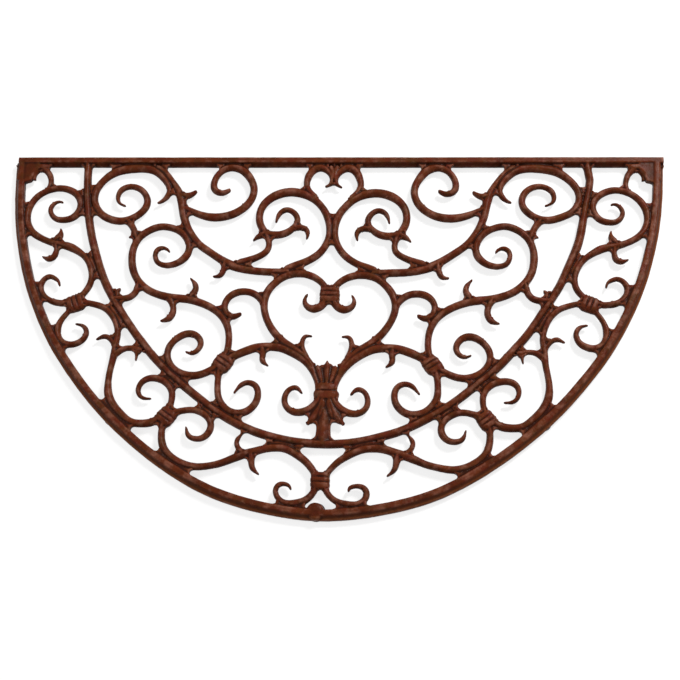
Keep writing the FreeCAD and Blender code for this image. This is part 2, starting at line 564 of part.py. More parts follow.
# Places of the bosses and pads: left side, left corner and front
boss_inset = boss_radius - boss_bulge
boss_line = round_the_front(RIM_SHARES, half_width - boss_inset, rim_depth - boss_inset)
side_centre = boss_line.value(mark_at(boss_line, SIDE_BOSS_SHARE))
corner_centre = FreeCAD.Vector(boss_radius - corner_bulge - half_width, back_edge - size("corner_inset"), 0)
front_centre = FreeCAD.Vector(-size("front_offset"), back_edge - rim_depth + boss_inset, 0)

# Front boss, standing in the rim
front_boss = doc.addObject("Part::Prism", "front_boss")
front_boss.Label = "front_boss"
front_boss.Polygon = ROUND_SIDES
front_boss.setExpression("Circumradius", "Sizes.boss_radius")
front_boss.setExpression("Height", "Sizes.frame_height")
front_boss.Placement.Base = front_centre
front_boss.setExpression("Placement.Base.x", "-Sizes.front_offset")
front_boss.setExpression("Placement.Base.z", "Sizes.pad_height")
doc.recompute()
nodes.append(front_boss)

# Rim, split at the side bosses and at the front boss
rim_line = round_the_front(RIM_SHARES, half_width - rim_width / 2, rim_depth - rim_width / 2)
rim_form = (rim_line, rim_width, pad_height, frame_height, RIM_SECTION_SHARES)
side_boss = boss(side_centre)
rim_lower = curved_frame(*rim_form, 0, SIDE_BOSS_SHARE).fuse(side_boss)
rim_upper = curved_frame(*rim_form, SIDE_BOSS_SHARE, 1).fuse(boss(corner_centre))
rim_upper = trimmed(rim_upper, [rail_shape, side_boss])
rim_lower_left = trimmed(rim_lower, [front_boss.Shape])
add_solid("rim_lower_left", rim_lower_left)
add_solid("rim_lower_right", trimmed(mirrored(rim_lower), [front_boss.Shape]))
add_mirror("rim_upper_right", add_solid("rim_upper_left", rim_upper))

# Inner arc, in two halves
arc_line = round_the_front(ARC_SHARES, half_width, rim_depth)
arc = curved_frame(arc_line, arc_width, crest_level - arc_height, arc_height, BAR_SECTION_SHARES,
                   0, 1)
arc = trimmed(arc, [rail_shape])
add_mirror("inner_arc_right", add_solid("inner_arc_left", arc))

# Sheaf and its stem
blades = [stroke(*shares, frame_top) for shares in BLADE_SHARES]
blades += [stroke(*shares) for shares in SHEAF_CURL_SHARES]
blades += [mirrored(blade) for blade in blades]
blades.append(stroke(*MIDDLE_BLADE_SHARES, frame_top))
band = collar(BAND_MIDDLE_SHARES, BAND_RUN_SHARES, size("band_length"), size("band_width"),
              collar_height, collar_top)
sheaf = largest(joined([band] + blades))
add_solid("sheaf", sheaf)
stem = trimmed(stroke(*STEM_SHARES, frame_top), [sheaf, arc, mirrored(arc)])
add_solid("sheaf_stem", stem)

# Scrolls of the left half, each trimmed by the pieces that it runs up to, and their mirror images
right_half = Part.makeBox(half_width, mat_depth, collar_top, FreeCAD.Vector(0, -back_edge, 0))
left_solids = [rail_shape, rim_upper, rim_lower_left, arc, sheaf, stem, right_half]
for label, strokes in SCROLL_SHARES.items():
    whole = joined([stroke(points, widths) for points, widths in strokes])
    scroll = trimmed(whole, left_solids)
    left_solids.append(scroll)
    add_mirror(label + "_right", add_solid(label + "_left", scroll))

# Collars, hollowed where the bars pass through them
sleeve = (COLLAR_RUN_SHARES, size("collar_length"), size("collar_width"), collar_height,
          collar_top)
for label, middle in COLLAR_SHARES.items():
    whole = trimmed(collar(middle, *sleeve), left_solids)
    add_mirror(label + "_right", add_solid(label + "_left", whole))
both_sides = left_solids[7:] + [mirrored(solid) for solid in left_solids[7:]]
for label, middle in MIDDLE_COLLAR_SHARES.items():
    add_solid(label, trimmed(collar(middle, *sleeve), both_sides))

# Rubber pads
right_side = FreeCAD.Vector(-side_centre.x, side_centre.y, 0)
right_corner = FreeCAD.Vector(-corner_centre.x, corner_centre.y, 0)
for label, centre in (("pad_front", front_centre), ("pad_side_left", side_centre),
                      ("pad_side_right", right_side), ("pad_corner_left", corner_centre),
                      ("pad_corner_right", right_corner)):
    disc = doc.addObject("Part::Prism", label)
    disc.Label = label
    disc.Polygon = ROUND_SIDES
    disc.setExpression("Circumradius", "Sizes.pad_radius")
    disc.setExpression("Height", "Sizes.pad_height")
    disc.Placement.Base = centre
    nodes.append(disc)
doc.recompute()

for item in doc.Objects:
    if "Invalid" in item.State or "Error" in item.State:
        raise RuntimeError("%s did not build: %s" % (item.Name, item.State))
for node in nodes:
    shape = node.Shape
    if shape.isNull() or not shape.isValid() or len(shape.Solids) != 1:
        raise RuntimeError("%s is not one sound solid" % node.Label)

os.makedirs("parts", exist_ok=True)
for node in nodes:
    node.Shape.exportStep("parts/%s.step" % node.Label)
print("%d pieces" % len(nodes))
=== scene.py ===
import math

import bpy
import numpy as np
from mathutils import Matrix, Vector
from mathutils.bvhtree import BVHTree


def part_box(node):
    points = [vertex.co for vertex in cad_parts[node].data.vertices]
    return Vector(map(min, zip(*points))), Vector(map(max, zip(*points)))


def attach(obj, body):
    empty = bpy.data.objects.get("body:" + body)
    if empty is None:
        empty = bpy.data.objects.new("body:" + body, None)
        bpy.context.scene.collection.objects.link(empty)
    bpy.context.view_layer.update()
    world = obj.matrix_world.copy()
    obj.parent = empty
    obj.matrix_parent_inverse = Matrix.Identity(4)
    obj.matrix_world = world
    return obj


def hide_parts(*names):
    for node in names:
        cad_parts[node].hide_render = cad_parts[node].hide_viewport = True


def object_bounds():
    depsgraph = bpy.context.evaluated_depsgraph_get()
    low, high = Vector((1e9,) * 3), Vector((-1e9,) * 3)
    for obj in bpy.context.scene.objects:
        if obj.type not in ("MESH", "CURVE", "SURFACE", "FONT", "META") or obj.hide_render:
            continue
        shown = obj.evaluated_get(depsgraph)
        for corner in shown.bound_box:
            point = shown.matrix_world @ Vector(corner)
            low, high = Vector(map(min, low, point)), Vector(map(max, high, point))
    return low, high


# Half-round cast iron door mat in the CAD frame: metres, +Z up, +Y towards the door. The casting's
# members are set out in millimetres from tables of shares, run together into one softened surface,
# and shared out again between the CAD nodes that they stand for.

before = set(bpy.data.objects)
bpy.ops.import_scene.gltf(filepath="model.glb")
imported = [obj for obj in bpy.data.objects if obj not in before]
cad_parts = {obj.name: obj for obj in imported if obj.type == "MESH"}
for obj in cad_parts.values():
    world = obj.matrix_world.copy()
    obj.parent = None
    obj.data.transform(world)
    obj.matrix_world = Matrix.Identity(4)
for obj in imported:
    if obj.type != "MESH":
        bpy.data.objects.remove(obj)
cad_low, cad_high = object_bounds()

MM = 0.001
CAD_LOW = np.array(cad_low)
CAD_HIGH = np.array(cad_high)

# Plan of the scrollwork, in millimetres
BACK_EDGE = 216.9
HALF_WIDTH = 379.6
RIM_DEPTH = 431.2

# Rim, rail and arc
FRAME_HEIGHT = 10.0
FRAME_TOP = 13.0
PAD_HEIGHT = 3.0
RIM_WIDTH = 11.6
RIM_REACH = 381.0
RIM_FORWARD = 433.7
RAIL_WIDTH = 9.4
RAIL_LEFT = -378.0
RAIL_RIGHT = 381.0
ARC_WIDTH = 9.7
ARC_HEIGHT = 8.5

# Bars, with the least share of the width that a thin tip keeps
CREST_LEVEL = 12.2
BAR_WIDTH = 8.4
BAR_HEIGHT = 7.2
TIP_SHARE = 0.34

# Collars, the sheaf's band, core and blades, and the corner plates
COLLAR_LENGTH = 17.5
COLLAR_WIDTH = 21.2
MIDDLE_COLLAR_WIDTH = 23.4
COLLAR_HEIGHT = 9.0
COLLAR_TOP = 13.0
BAND_LENGTH = 17.5
BAND_WIDTH = 29.0
BAND_NARROWED = 0.84
CORE_TOP = 10.4
BLADE_TOP = 12.6
PLATE_TOP = 12.4
GROOVE_REACH = 0.055

# Bosses and the feet under them
BOSS_RADIUS = 9.9
LOW_BOSS_TOP = 8.6
FRONT_BOSS_RADIUS = 9.7
FRONT_BOSS_FORWARD = 0.6
FOOT_SPREAD = 1.13

# Fillets between members: their reach, levels and cell size. A member wider than one row of discs is
# noted as several rows of small ones.
FILLET = 3.0
WEB_BASE = 5.0
WEB_TOP = 11.0
CELL = 0.5
ONE_ROW_WIDTH = 12.4
ROW_RADIUS = 1.2
ROW_SHARES = np.linspace(-1, 1, 15)

# How finely the forms are cut, and how deep a hollow counts as a full one
BAR_STEP = 1.6
VOXEL = 0.85
FULL_RELIEF = 0.16

# The front crossing stands left of the middle: its place, reach and shift
CROSSING_AHEAD = -176
CROSSING_REACH = 26
CROSSING_SHIFT = -1.8
# The scrollwork's own shifts fade out over this distance from the rim and the rail
FADE = 14

# Cross-sections as shares of the half width and of the height
ROUND_BACK_SHARES = [(-0.92, 0), (0.92, 0), (1, 0.12), (0.98, 0.32), (0.87, 0.55), (0.64, 0.77),
                     (0.32, 0.94), (0, 1), (-0.32, 0.94), (-0.64, 0.77), (-0.87, 0.55),
                     (-0.98, 0.32), (-1, 0.12)]
RIM_SECTION_SHARES = [(-1, 0), (1.03, 0), (1.03, 0.38), (0.96, 0.48), (0.62, 0.62), (0.4, 0.76),
                      (0.2, 0.93), (0.04, 1), (-0.6, 1), (-0.87, 0.95), (-0.98, 0.76)]
RAIL_SECTION_SHARES = [(1.03, 0), (-1, 0), (-0.97, 0.35), (-0.84, 0.5), (-0.32, 0.97), (-0.2, 1),
                       (0.85, 1.04), (1.03, 1.04), (1.03, 0.75)]
RIDGE_SHARES = [(-0.95, 0), (0.95, 0), (1, 0.3), (0.95, 0.6), (0.5, 0.82), (0.12, 0.98), (0, 1),
                (-0.12, 0.98), (-0.5, 0.82), (-0.95, 0.6), (-1, 0.3)]
SLEEVE_SHARES = [(-0.96, 0), (0.96, 0), (1, 0.15), (0.99, 0.45), (0.9, 0.74), (0.7, 0.93),
                 (0.38, 1), (-0.38, 1), (-0.7, 0.93), (-0.9, 0.74), (-0.99, 0.45), (-1, 0.15)]

# Coating colours, with painted bounce light on the lip, painted shade, and wear with a painted highlight
DARK_COAT = (0.054, 0.0100, 0.0027)
COAT = (0.097, 0.0190, 0.0048)
WARM_COAT = (0.142, 0.0345, 0.0107)
# Painted bounce light: the rim's outer lip is lighter
LIP_PAINTED_LIGHT_COAT = (0.180, 0.0520, 0.0150)
OLIVE_COAT = (0.069, 0.0260, 0.0060)
RED_COAT = (0.108, 0.0148, 0.0072)
# Painted shade for creases and for walls low down
PAINTED_SHADE_COAT = (0.014, 0.0030, 0.0012)
# Worn paint on the ridges, made brighter as a painted highlight
WORN_AND_HIGHLIGHT_COAT = (0.34, 0.155, 0.105)

# View of the photograph
PHOTO_SIZE = 680
CAMERA_FOCUS = 1292.16
CAMERA_PLACE = (0.10882, -0.53807, 1.34200)
CAMERA_TURN = (0.981825, 0.186816, 0.031751, 0.010558)

# Middle line of the rim and of the inner arc, from the front round to the rail
RIM_SHARES = [(0, 1), (0.1107, 0.9918), (0.2243, 0.9712), (0.3292, 0.9399), (0.4289, 0.8933),
              (0.5168, 0.8407), (0.6005, 0.7808), (0.6791, 0.7138), (0.7511, 0.6394), (0.8176, 0.5595),
              (0.8739, 0.4726), (0.9208, 0.3807), (0.9557, 0.2847), (0.9805, 0.1866), (0.9938, 0.0881),
              (1, 0)]
ARC_SHARES = [(0, 0.8097), (0.1013, 0.8021), (0.2133, 0.7737), (0.3013, 0.7324),
              (0.3933, 0.6744), (0.48, 0.6094), (0.5572, 0.5345), (0.6256, 0.4523),
              (0.6728, 0.3819), (0.7125, 0.3033), (0.7443, 0.2176), (0.7629, 0.1354),
              (0.7723, 0.0603), (0.7752, 0)]

# Scrolls of the left half: points as shares of the half width and of the depth, then widths as
# shares of the bars' width
SCROLL_SHARES = {
    "border_scroll_upper": [
        ([(0.839, 0.135), (0.856, 0.133), (0.873, 0.145), (0.877, 0.160), (0.869, 0.175),
          (0.853, 0.186), (0.832, 0.188), (0.811, 0.184), (0.793, 0.171), (0.784, 0.152),
          (0.785, 0.132), (0.798, 0.111), (0.824, 0.096), (0.856, 0.091), (0.888, 0.097),
          (0.918, 0.113), (0.939, 0.138), (0.947, 0.166), (0.944, 0.194), (0.927, 0.222),
          (0.899, 0.241), (0.869, 0.253), (0.840, 0.260), (0.808, 0.266), (0.776, 0.280),
          (0.749, 0.299), (0.732, 0.323), (0.724, 0.351), (0.729, 0.380), (0.744, 0.404),
          (0.762, 0.424)],
         (0.2, 0.67, 0.8, 0.93, 1.07, 1.07, 1.07, 0.93, 0.87, 0.93, 0.93, 1, 1, 0.93, 1.07, 1.2,
          0.93, 0.93, 0.93, 0.87, 0.87)),
        ([(0.851, 0.250), (0.836, 0.234), (0.837, 0.214)],
         (1.2, 0.93, 0.16)),
        ([(0.845, 0.258), (0.843, 0.279), (0.847, 0.295), (0.861, 0.304), (0.885, 0.297)],
         (0.93, 0.73, 0.87, 0.8, 0.16)),
        ([(0.741, 0.288), (0.7275, 0.3115), (0.715, 0.335), (0.7117, 0.3467)],
         (0.4, 0.67, 0.6, 0.27)),
    ],
    "corner_hook": [
        ([(0.896, 0.103), (0.887, 0.084), (0.888, 0.063), (0.897, 0.044), (0.918, 0.029),
          (0.944, 0.025)],
         (0.87, 0.8, 0.87, 0.93, 1.2)),
        ([(0.925, 0.024), (0.937, 0.035), (0.943, 0.050), (0.937, 0.066)],
         (1.2, 1.1, 0.8, 0.15)),
        ([(0.968, 0.058), (0.952, 0.058), (0.940, 0.062)],
         (1.2, 0.95, 0.4)),
    ],
    "border_arch": [
        ([(0.757, 0.431), (0.730, 0.430), (0.702, 0.435), (0.675, 0.444), (0.651, 0.463),
          (0.635, 0.488), (0.627, 0.516), (0.630, 0.544), (0.636, 0.577), (0.644, 0.610),
          (0.646, 0.642), (0.639, 0.678), (0.622, 0.711), (0.592, 0.740), (0.563, 0.758),
          (0.531, 0.762), (0.501, 0.758), (0.477, 0.746)],
         (0.93, 0.87, 0.93, 0.93, 0.87, 0.87, 0.93, 0.93, 0.8, 0.87, 1.07, 1.2, 1.2, 1.13, 1.07,
          1.13, 1.07)),
        ([(0.632, 0.549), (0.646, 0.533), (0.664, 0.525), (0.690, 0.535)],
         (0.8, 0.73, 0.67, 0.16)),
        ([(0.632, 0.572), (0.616, 0.562), (0.595, 0.556), (0.571, 0.558), (0.549, 0.565)],
         (0.93, 0.8, 0.73, 0.8, 1.07)),
        ([(0.565, 0.558), (0.565, 0.574), (0.567, 0.590)],
         (0.8, 0.53, 0.13)),
        ([(0.6587, 0.4336), (0.6523, 0.4453), (0.6333, 0.4674), (0.6187, 0.490), (0.616, 0.504)],
         (0.27, 0.73, 0.6, 0.73, 0.27)),
    ],
    "border_scroll_middle": [
        ([(0.820, 0.383), (0.824, 0.370), (0.837, 0.360), (0.853, 0.355), (0.869, 0.363),
          (0.877, 0.380), (0.873, 0.398), (0.857, 0.416), (0.832, 0.428), (0.805, 0.432),
          (0.776, 0.431)],
         (0.16, 0.6, 0.73, 0.8, 0.8, 0.8, 0.87, 0.93, 0.93)),
        ([(0.770, 0.438), (0.784, 0.457), (0.800, 0.477), (0.809, 0.498), (0.808, 0.520),
          (0.794, 0.540), (0.770, 0.549), (0.746, 0.545), (0.728, 0.532), (0.722, 0.513),
          (0.733, 0.497), (0.757, 0.491)],
         (0.8, 0.73, 0.8, 1, 0.93, 0.93, 0.87, 0.8, 0.67, 0.16)),
    ],
    "border_sweep": [
        ([(0.466, 0.746), (0.469, 0.772), (0.469, 0.797), (0.460, 0.826), (0.437, 0.849),
          (0.406, 0.865), (0.368, 0.873), (0.331, 0.870), (0.296, 0.862), (0.261, 0.849),
          (0.229, 0.838), (0.200, 0.831), (0.170, 0.824), (0.142, 0.821), (0.112, 0.823),
          (0.083, 0.835), (0.056, 0.851), (0.032, 0.871), (0.016, 0.891), (0.008, 0.908)],
         (0.93, 0.93, 1, 1.07, 1.13, 1.07, 1, 0.93, 1, 1.13, 1.2, 1.07, 1.07, 1.07, 1.07, 1, 0.93,
          0.93)),
        ([(0.232, 0.835), (0.248, 0.819), (0.251, 0.803), (0.234, 0.782)],
         (0.93, 0.73, 0.67, 0.2)),
        ([(0.208, 0.833), (0.206, 0.856), (0.201, 0.874), (0.181, 0.891)],
         (1.2, 0.93, 0.73, 0.16)),
        ([(0.008, 0.908), (0.016, 0.927), (0.029, 0.944), (0.051, 0.958), (0.080, 0.964),
          (0.107, 0.961), (0.126, 0.946), (0.131, 0.930), (0.123, 0.917), (0.107, 0.914),
          (0.092, 0.919), (0.086, 0.930)],
         (0.93, 0.93, 0.93, 1, 1.07, 0.93, 0.8, 0.73, 0.73, 0.6, 0.27)),
        ([(0.164, 0.8095), (0.122, 0.8105), (0.080, 0.821), (0.067, 0.826)],
         (0.27, 0.53, 0.53, 0.27)),
    ],
    "border_hook_lower": [
        ([(0.508, 0.695), (0.531, 0.694), (0.545, 0.685), (0.550, 0.669), (0.544, 0.653),
          (0.528, 0.642), (0.506, 0.639), (0.482, 0.644), (0.462, 0.657), (0.450, 0.675),
          (0.448, 0.696), (0.454, 0.720), (0.466, 0.736)],
         (0.16, 0.53, 0.67, 0.8, 0.87, 0.93, 1, 1, 0.93, 0.93, 0.87, 0.87, 0.93)),
        ([(0.478, 0.633), (0.4515, 0.650), (0.438, 0.6685)],
         (0.27, 0.53, 0.27)),
    ],
    "border_scroll_lower": [
        ([(0.458, 0.739), (0.437, 0.732), (0.411, 0.726), (0.382, 0.724), (0.356, 0.731),
          (0.336, 0.745), (0.328, 0.763), (0.334, 0.783), (0.351, 0.797), (0.372, 0.800),
          (0.391, 0.792), (0.400, 0.768)],
         (1.07, 0.93, 0.87, 0.87, 0.93, 0.93, 0.93, 0.93, 0.87, 0.8, 0.67, 0.16)),
        ([(0.364, 0.714), (0.335, 0.729), (0.317, 0.7475)],
         (0.27, 0.53, 0.27)),
    ],
    "field_stem": [
        ([(0.555, 0.025), (0.531, 0.038), (0.506, 0.060), (0.486, 0.085), (0.473, 0.112),
          (0.466, 0.140), (0.460, 0.171), (0.449, 0.201), (0.432, 0.229), (0.407, 0.256),
          (0.376, 0.277), (0.343, 0.297), (0.309, 0.315), (0.275, 0.327), (0.237, 0.334),
          (0.200, 0.337), (0.160, 0.338), (0.123, 0.338)],
         (1.07, 0.93, 1, 1.13, 1.33, 1.2, 1.13, 1.13, 1.13, 1.07, 1.07, 1.13, 1.33, 1.13, 1.07, 1.07,
          1.07, 1.07)),
        ([(0.472, 0.112), (0.448, 0.111), (0.424, 0.097)],
         (1.33, 0.87, 0.47)),
        ([(0.320, 0.312), (0.324, 0.335), (0.335, 0.350), (0.354, 0.352)],
         (1.2, 0.87, 0.73, 0.2)),
    ],
    "field_scroll_middle": [
        ([(0.492, 0.282), (0.501, 0.273), (0.518, 0.269), (0.534, 0.279), (0.535, 0.297),
          (0.524, 0.313), (0.501, 0.320), (0.474, 0.316), (0.452, 0.304), (0.437, 0.285),
          (0.4345, 0.262), (0.445, 0.239), (0.4675, 0.219), (0.498, 0.208), (0.528, 0.206),
          (0.557, 0.215), (0.583, 0.232), (0.600, 0.255), (0.607, 0.283), (0.605, 0.314),
          (0.595, 0.344), (0.575, 0.371), (0.544, 0.394), (0.506, 0.408), (0.464, 0.417),
          (0.422, 0.421), (0.382, 0.430), (0.346, 0.445), (0.316, 0.469), (0.299, 0.497),
          (0.293, 0.530), (0.296, 0.563), (0.307, 0.591)],
         (0.27, 0.67, 0.73, 0.8, 0.93, 1.07, 1, 1, 1, 1, 1, 1, 1, 1.07, 1.07, 1.07, 1.07, 1.07, 1.13,
          1.13, 1.13, 1.07, 1.07, 1, 1, 0.93, 0.93, 1.07)),
        ([(0.414, 0.415), (0.404, 0.397), (0.403, 0.381), (0.422, 0.358)],
         (1.2, 0.87, 0.73, 0.16)),
        ([(0.480, 0.415), (0.469, 0.434), (0.466, 0.455), (0.477, 0.473), (0.503, 0.481)],
         (1.2, 0.87, 0.93, 0.87, 0.2)),
        ([(0.579, 0.375), (0.585, 0.397), (0.600, 0.412), (0.622, 0.417), (0.648, 0.417)],
         (1.07, 0.93, 0.93, 0.93, 1.07)),
        ([(0.639, 0.410), (0.640, 0.396), (0.631, 0.388)],
         (0.93, 0.73, 0.33)),
    ],
    "field_scroll_upper": [
        ([(0.544, 0.135), (0.527, 0.126), (0.512, 0.110), (0.507, 0.091), (0.516, 0.071),
          (0.535, 0.052), (0.565, 0.034), (0.603, 0.0275), (0.643, 0.0295), (0.683, 0.039),
          (0.713, 0.059), (0.7335, 0.084), (0.743, 0.112), (0.738, 0.141), (0.718, 0.167),
          (0.688, 0.183), (0.656, 0.189), (0.626, 0.184), (0.599, 0.169), (0.580, 0.148),
          (0.577, 0.123), (0.592, 0.099), (0.616, 0.086), (0.642, 0.085), (0.663, 0.097),
          (0.670, 0.117), (0.663, 0.134), (0.642, 0.144)],
         (0.27, 0.8, 0.93, 1.07, 1.07, 1.2, 1.3, 1.3, 1.2, 1, 1, 1.05, 1.1, 1.13, 1.13, 1.07, 1, 1,
          1, 0.93, 0.87, 0.8, 0.6, 0.16)),
        ([(0.630, 0.189), (0.615, 0.206), (0.605, 0.225), (0.597, 0.243)],
         (1.07, 0.93, 0.93, 1.07)),
        ([(0.605, 0.232), (0.623, 0.239)],
         (0.8, 0.16)),
    ],
    "field_scroll_back": [
        ([(0.461, 0.150), (0.434, 0.161), (0.400, 0.173), (0.363, 0.178), (0.325, 0.173),
          (0.291, 0.159), (0.264, 0.137), (0.249, 0.110), (0.249, 0.081), (0.263, 0.055),
          (0.285, 0.034), (0.315, 0.0255), (0.344, 0.032), (0.366, 0.053), (0.374, 0.078),
          (0.367, 0.097), (0.347, 0.104), (0.321, 0.093)],
         (0.93, 0.93, 1.07, 1.2, 1.2, 1.2, 1.13, 1.13, 1.07, 1.07, 1.1, 1.2, 1.15, 0.97, 0.87,
          0.93, 1, 0.87, 0.53)),
    ],
    "crown_scroll": [
        ([(0.139, 0.333), (0.110, 0.321), (0.078, 0.308), (0.045, 0.289), (0.023, 0.266),
          (0.010, 0.239), (0.008, 0.208), (0.018, 0.178), (0.036, 0.150), (0.060, 0.124),
          (0.091, 0.107), (0.126, 0.100), (0.160, 0.104), (0.192, 0.118), (0.216, 0.142),
          (0.225, 0.171), (0.220, 0.199), (0.204, 0.223), (0.192, 0.246), (0.193, 0.272),
          (0.213, 0.290), (0.245, 0.303), (0.283, 0.314)],
         (1.2, 1.2, 1.07, 1.07, 1, 1, 1.07, 1.07, 1, 1.07, 1.2, 1.33, 1.33, 1.27, 1.13, 1.07, 1.07,
          1.07, 0.87, 0.87, 0.93, 1.07, 1.2)),
        ([(0.210, 0.225), (0.176, 0.229), (0.146, 0.225), (0.122, 0.211), (0.108, 0.192),
          (0.111, 0.173), (0.128, 0.157), (0.148, 0.155), (0.165, 0.168), (0.173, 0.193)],
         (1.07, 1.13, 1.07, 1, 0.87, 0.87, 0.8, 0.8, 0.67, 0.2)),
        ([(0.115, 0.209), (0.092, 0.208), (0.075, 0.220), (0.077, 0.242)],
         (0.93, 0.8, 0.73, 0.2)),
        ([(0.205, 0.227), (0.224, 0.234), (0.240, 0.247)],
         (1.07, 0.8, 0.13)),
    ],
    "top_heart": [
        ([(0.051, 0.121), (0.071, 0.103), (0.083, 0.081), (0.082, 0.060), (0.072, 0.040),
          (0.048, 0.026), (0.027, 0.031), (0.012, 0.044), (0.006, 0.060), (0.011, 0.076),
          (0.027, 0.084)],
         (0.93, 0.93, 0.87, 0.93, 1.07, 1.07, 1.07, 0.87, 0.73, 0.67, 0.16)),
        ([(0.012, 0.024), (0.0035, 0.042), (0.004, 0.062)],
         (1.2, 1.2, 0.8)),
    ],
    "heart": [
        ([(0.005, 0.401), (0.017, 0.376), (0.040, 0.356), (0.070, 0.344), (0.102, 0.342),
          (0.134, 0.350), (0.161, 0.368), (0.182, 0.392), (0.192, 0.422), (0.190, 0.452),
          (0.178, 0.483), (0.157, 0.512), (0.130, 0.537), (0.099, 0.557), (0.071, 0.578),
          (0.050, 0.602), (0.036, 0.628)],
         (0.93, 0.93, 1, 1.07, 1.07, 1, 1.07, 1.07, 1, 1, 1.07, 1.13, 1.2, 1.07, 1, 0.7)),
        ([(0.005, 0.401), (0.016, 0.424), (0.033, 0.439), (0.054, 0.441), (0.070, 0.430),
          (0.073, 0.415), (0.065, 0.400)],
         (0.93, 1.07, 1.13, 1.13, 0.87, 0.6, 0.2)),
        ([(0.064, 0.581), (0.074, 0.558), (0.076, 0.537), (0.066, 0.520), (0.045, 0.520)],
         (0.93, 0.8, 0.73, 0.6, 0.13)),
    ],
    "heart_loop": [
        ([(0.190, 0.431), (0.208, 0.411), (0.232, 0.398), (0.259, 0.395), (0.285, 0.401),
          (0.305, 0.417), (0.312, 0.441), (0.301, 0.466)],
         (1.07, 1, 1, 1, 1, 0.93, 0.93, 1.07)),
        ([(0.304, 0.464), (0.283, 0.466), (0.259, 0.457)],
         (1.07, 0.87, 0.47)),
    ],
    "lower_loop": [
        ([(0.301, 0.591), (0.275, 0.577), (0.245, 0.564), (0.210, 0.553), (0.173, 0.550),
          (0.139, 0.553), (0.107, 0.566), (0.074, 0.588), (0.046, 0.618), (0.032, 0.640),
          (0.024, 0.662)],
         (1.2, 1.13, 1.2, 1.2, 1.2, 1.2, 1.15, 1.0, 0.85, 0.75)),
        ([(0.192, 0.553), (0.190, 0.574), (0.190, 0.588), (0.171, 0.604)],
         (1.2, 0.87, 0.73, 0.16)),
    ],
    "field_scroll_lower": [
        ([(0.420, 0.565), (0.403, 0.570), (0.386, 0.563), (0.376, 0.546), (0.383, 0.527),
          (0.403, 0.516), (0.427, 0.518), (0.450, 0.531), (0.468, 0.552), (0.472, 0.577),
          (0.462, 0.601), (0.440, 0.620), (0.411, 0.630), (0.379, 0.630), (0.350, 0.621),
          (0.315, 0.603)],
         (0.16, 0.67, 0.8, 0.93, 1, 1, 0.93, 0.93, 0.93, 1, 1.07, 1.13, 1.07, 1.07, 1.07, 1.13)),
    ],
    "field_curl": [
        ([(0.312, 0.605), (0.316, 0.633), (0.315, 0.664), (0.309, 0.692), (0.289, 0.718),
          (0.259, 0.730), (0.229, 0.726), (0.206, 0.708), (0.197, 0.685), (0.202, 0.661),
          (0.221, 0.649), (0.244, 0.653), (0.267, 0.678)],
         (0.93, 0.87, 0.87, 0.93, 1.07, 1.07, 1.07, 1, 0.93, 0.87, 0.8, 0.67, 0.16)),
    ],
}

# Collars: middle, and the direction of the bound bars in degrees
COLLAR_SHARES = {
    "upper_collar": (0.765, 0.432, 21),
    "lower_collar": (0.460, 0.743, 54),
    "field_collar": (0.305, 0.596, 55),
}
MIDDLE_COLLAR_SHARES = {
    "heart_collar": (0, 0.403, 90),
    "front_collar": (0, 0.905, 90),
}

# Sheaf at the middle: blades above its band, leaves and curls below it
MIDDLE_BLADE_SHARES = ([(-0.002, 0.6561), (-0.0025, 0.633), (-0.003, 0.612), (-0.0035, 0.5870)],
                       (0.75, 1.0, 1.4, 1.25, 0.1))
BLADE_SHARES = [
    ([(0.0105, 0.6561), (0.0190, 0.632), (0.0300, 0.6030)], (0.6, 0.9, 1.2, 1.35, 1.2)),
]
LEAF_SHARES = [
    ([(0.007, 0.683), (0.019, 0.7150), (0.034, 0.7410), (0.0545, 0.7600)],
     (0.9, 1.35, 1.6, 1.35, 0.15)),
    ([(0.004, 0.683), (0.0105, 0.7162), (0.0215, 0.7490)], (0.6, 1.1, 1.25, 0.3)),
]
SHEAF_CURL_SHARES = [
    ([(0.016, 0.668), (0.021, 0.692), (0.036, 0.712), (0.059, 0.724), (0.088, 0.727), (0.112, 0.714),
      (0.120, 0.692), (0.111, 0.669), (0.091, 0.662), (0.070, 0.678)],
     (1.07, 1.07, 1.2, 1.1, 1, 0.87, 0.8, 0.73, 0.67, 0.25)),
]
# Core of the sheaf between the blades, and the plate that fills the left corner
SHEAF_CORE_SHARES = [(-0.0325, 0.672), (0.0325, 0.672), (0.0380, 0.616), (0.0130, 0.622),
                     (0, 0.618), (-0.0130, 0.622), (-0.0380, 0.616)]
CORNER_PLATE_SHARES = [(0.993, 0.016), (0.901, 0.021), (0.904, 0.030), (0.922, 0.031),
                       (0.938, 0.037), (0.943, 0.047), (0.944, 0.058), (0.948, 0.070),
                       (0.964, 0.074), (0.993, 0.067)]
BAND_MIDDLE_SHARES = (0, 0.6716, 90)
STEM_SHARES = ([(0.004, 0.7120), (0.005, 0.745), (0.0055, 0.78), (0.0055, 0.815)],
               (0.25, 1.75, 1.95, 1.9, 2.1, 3.1))

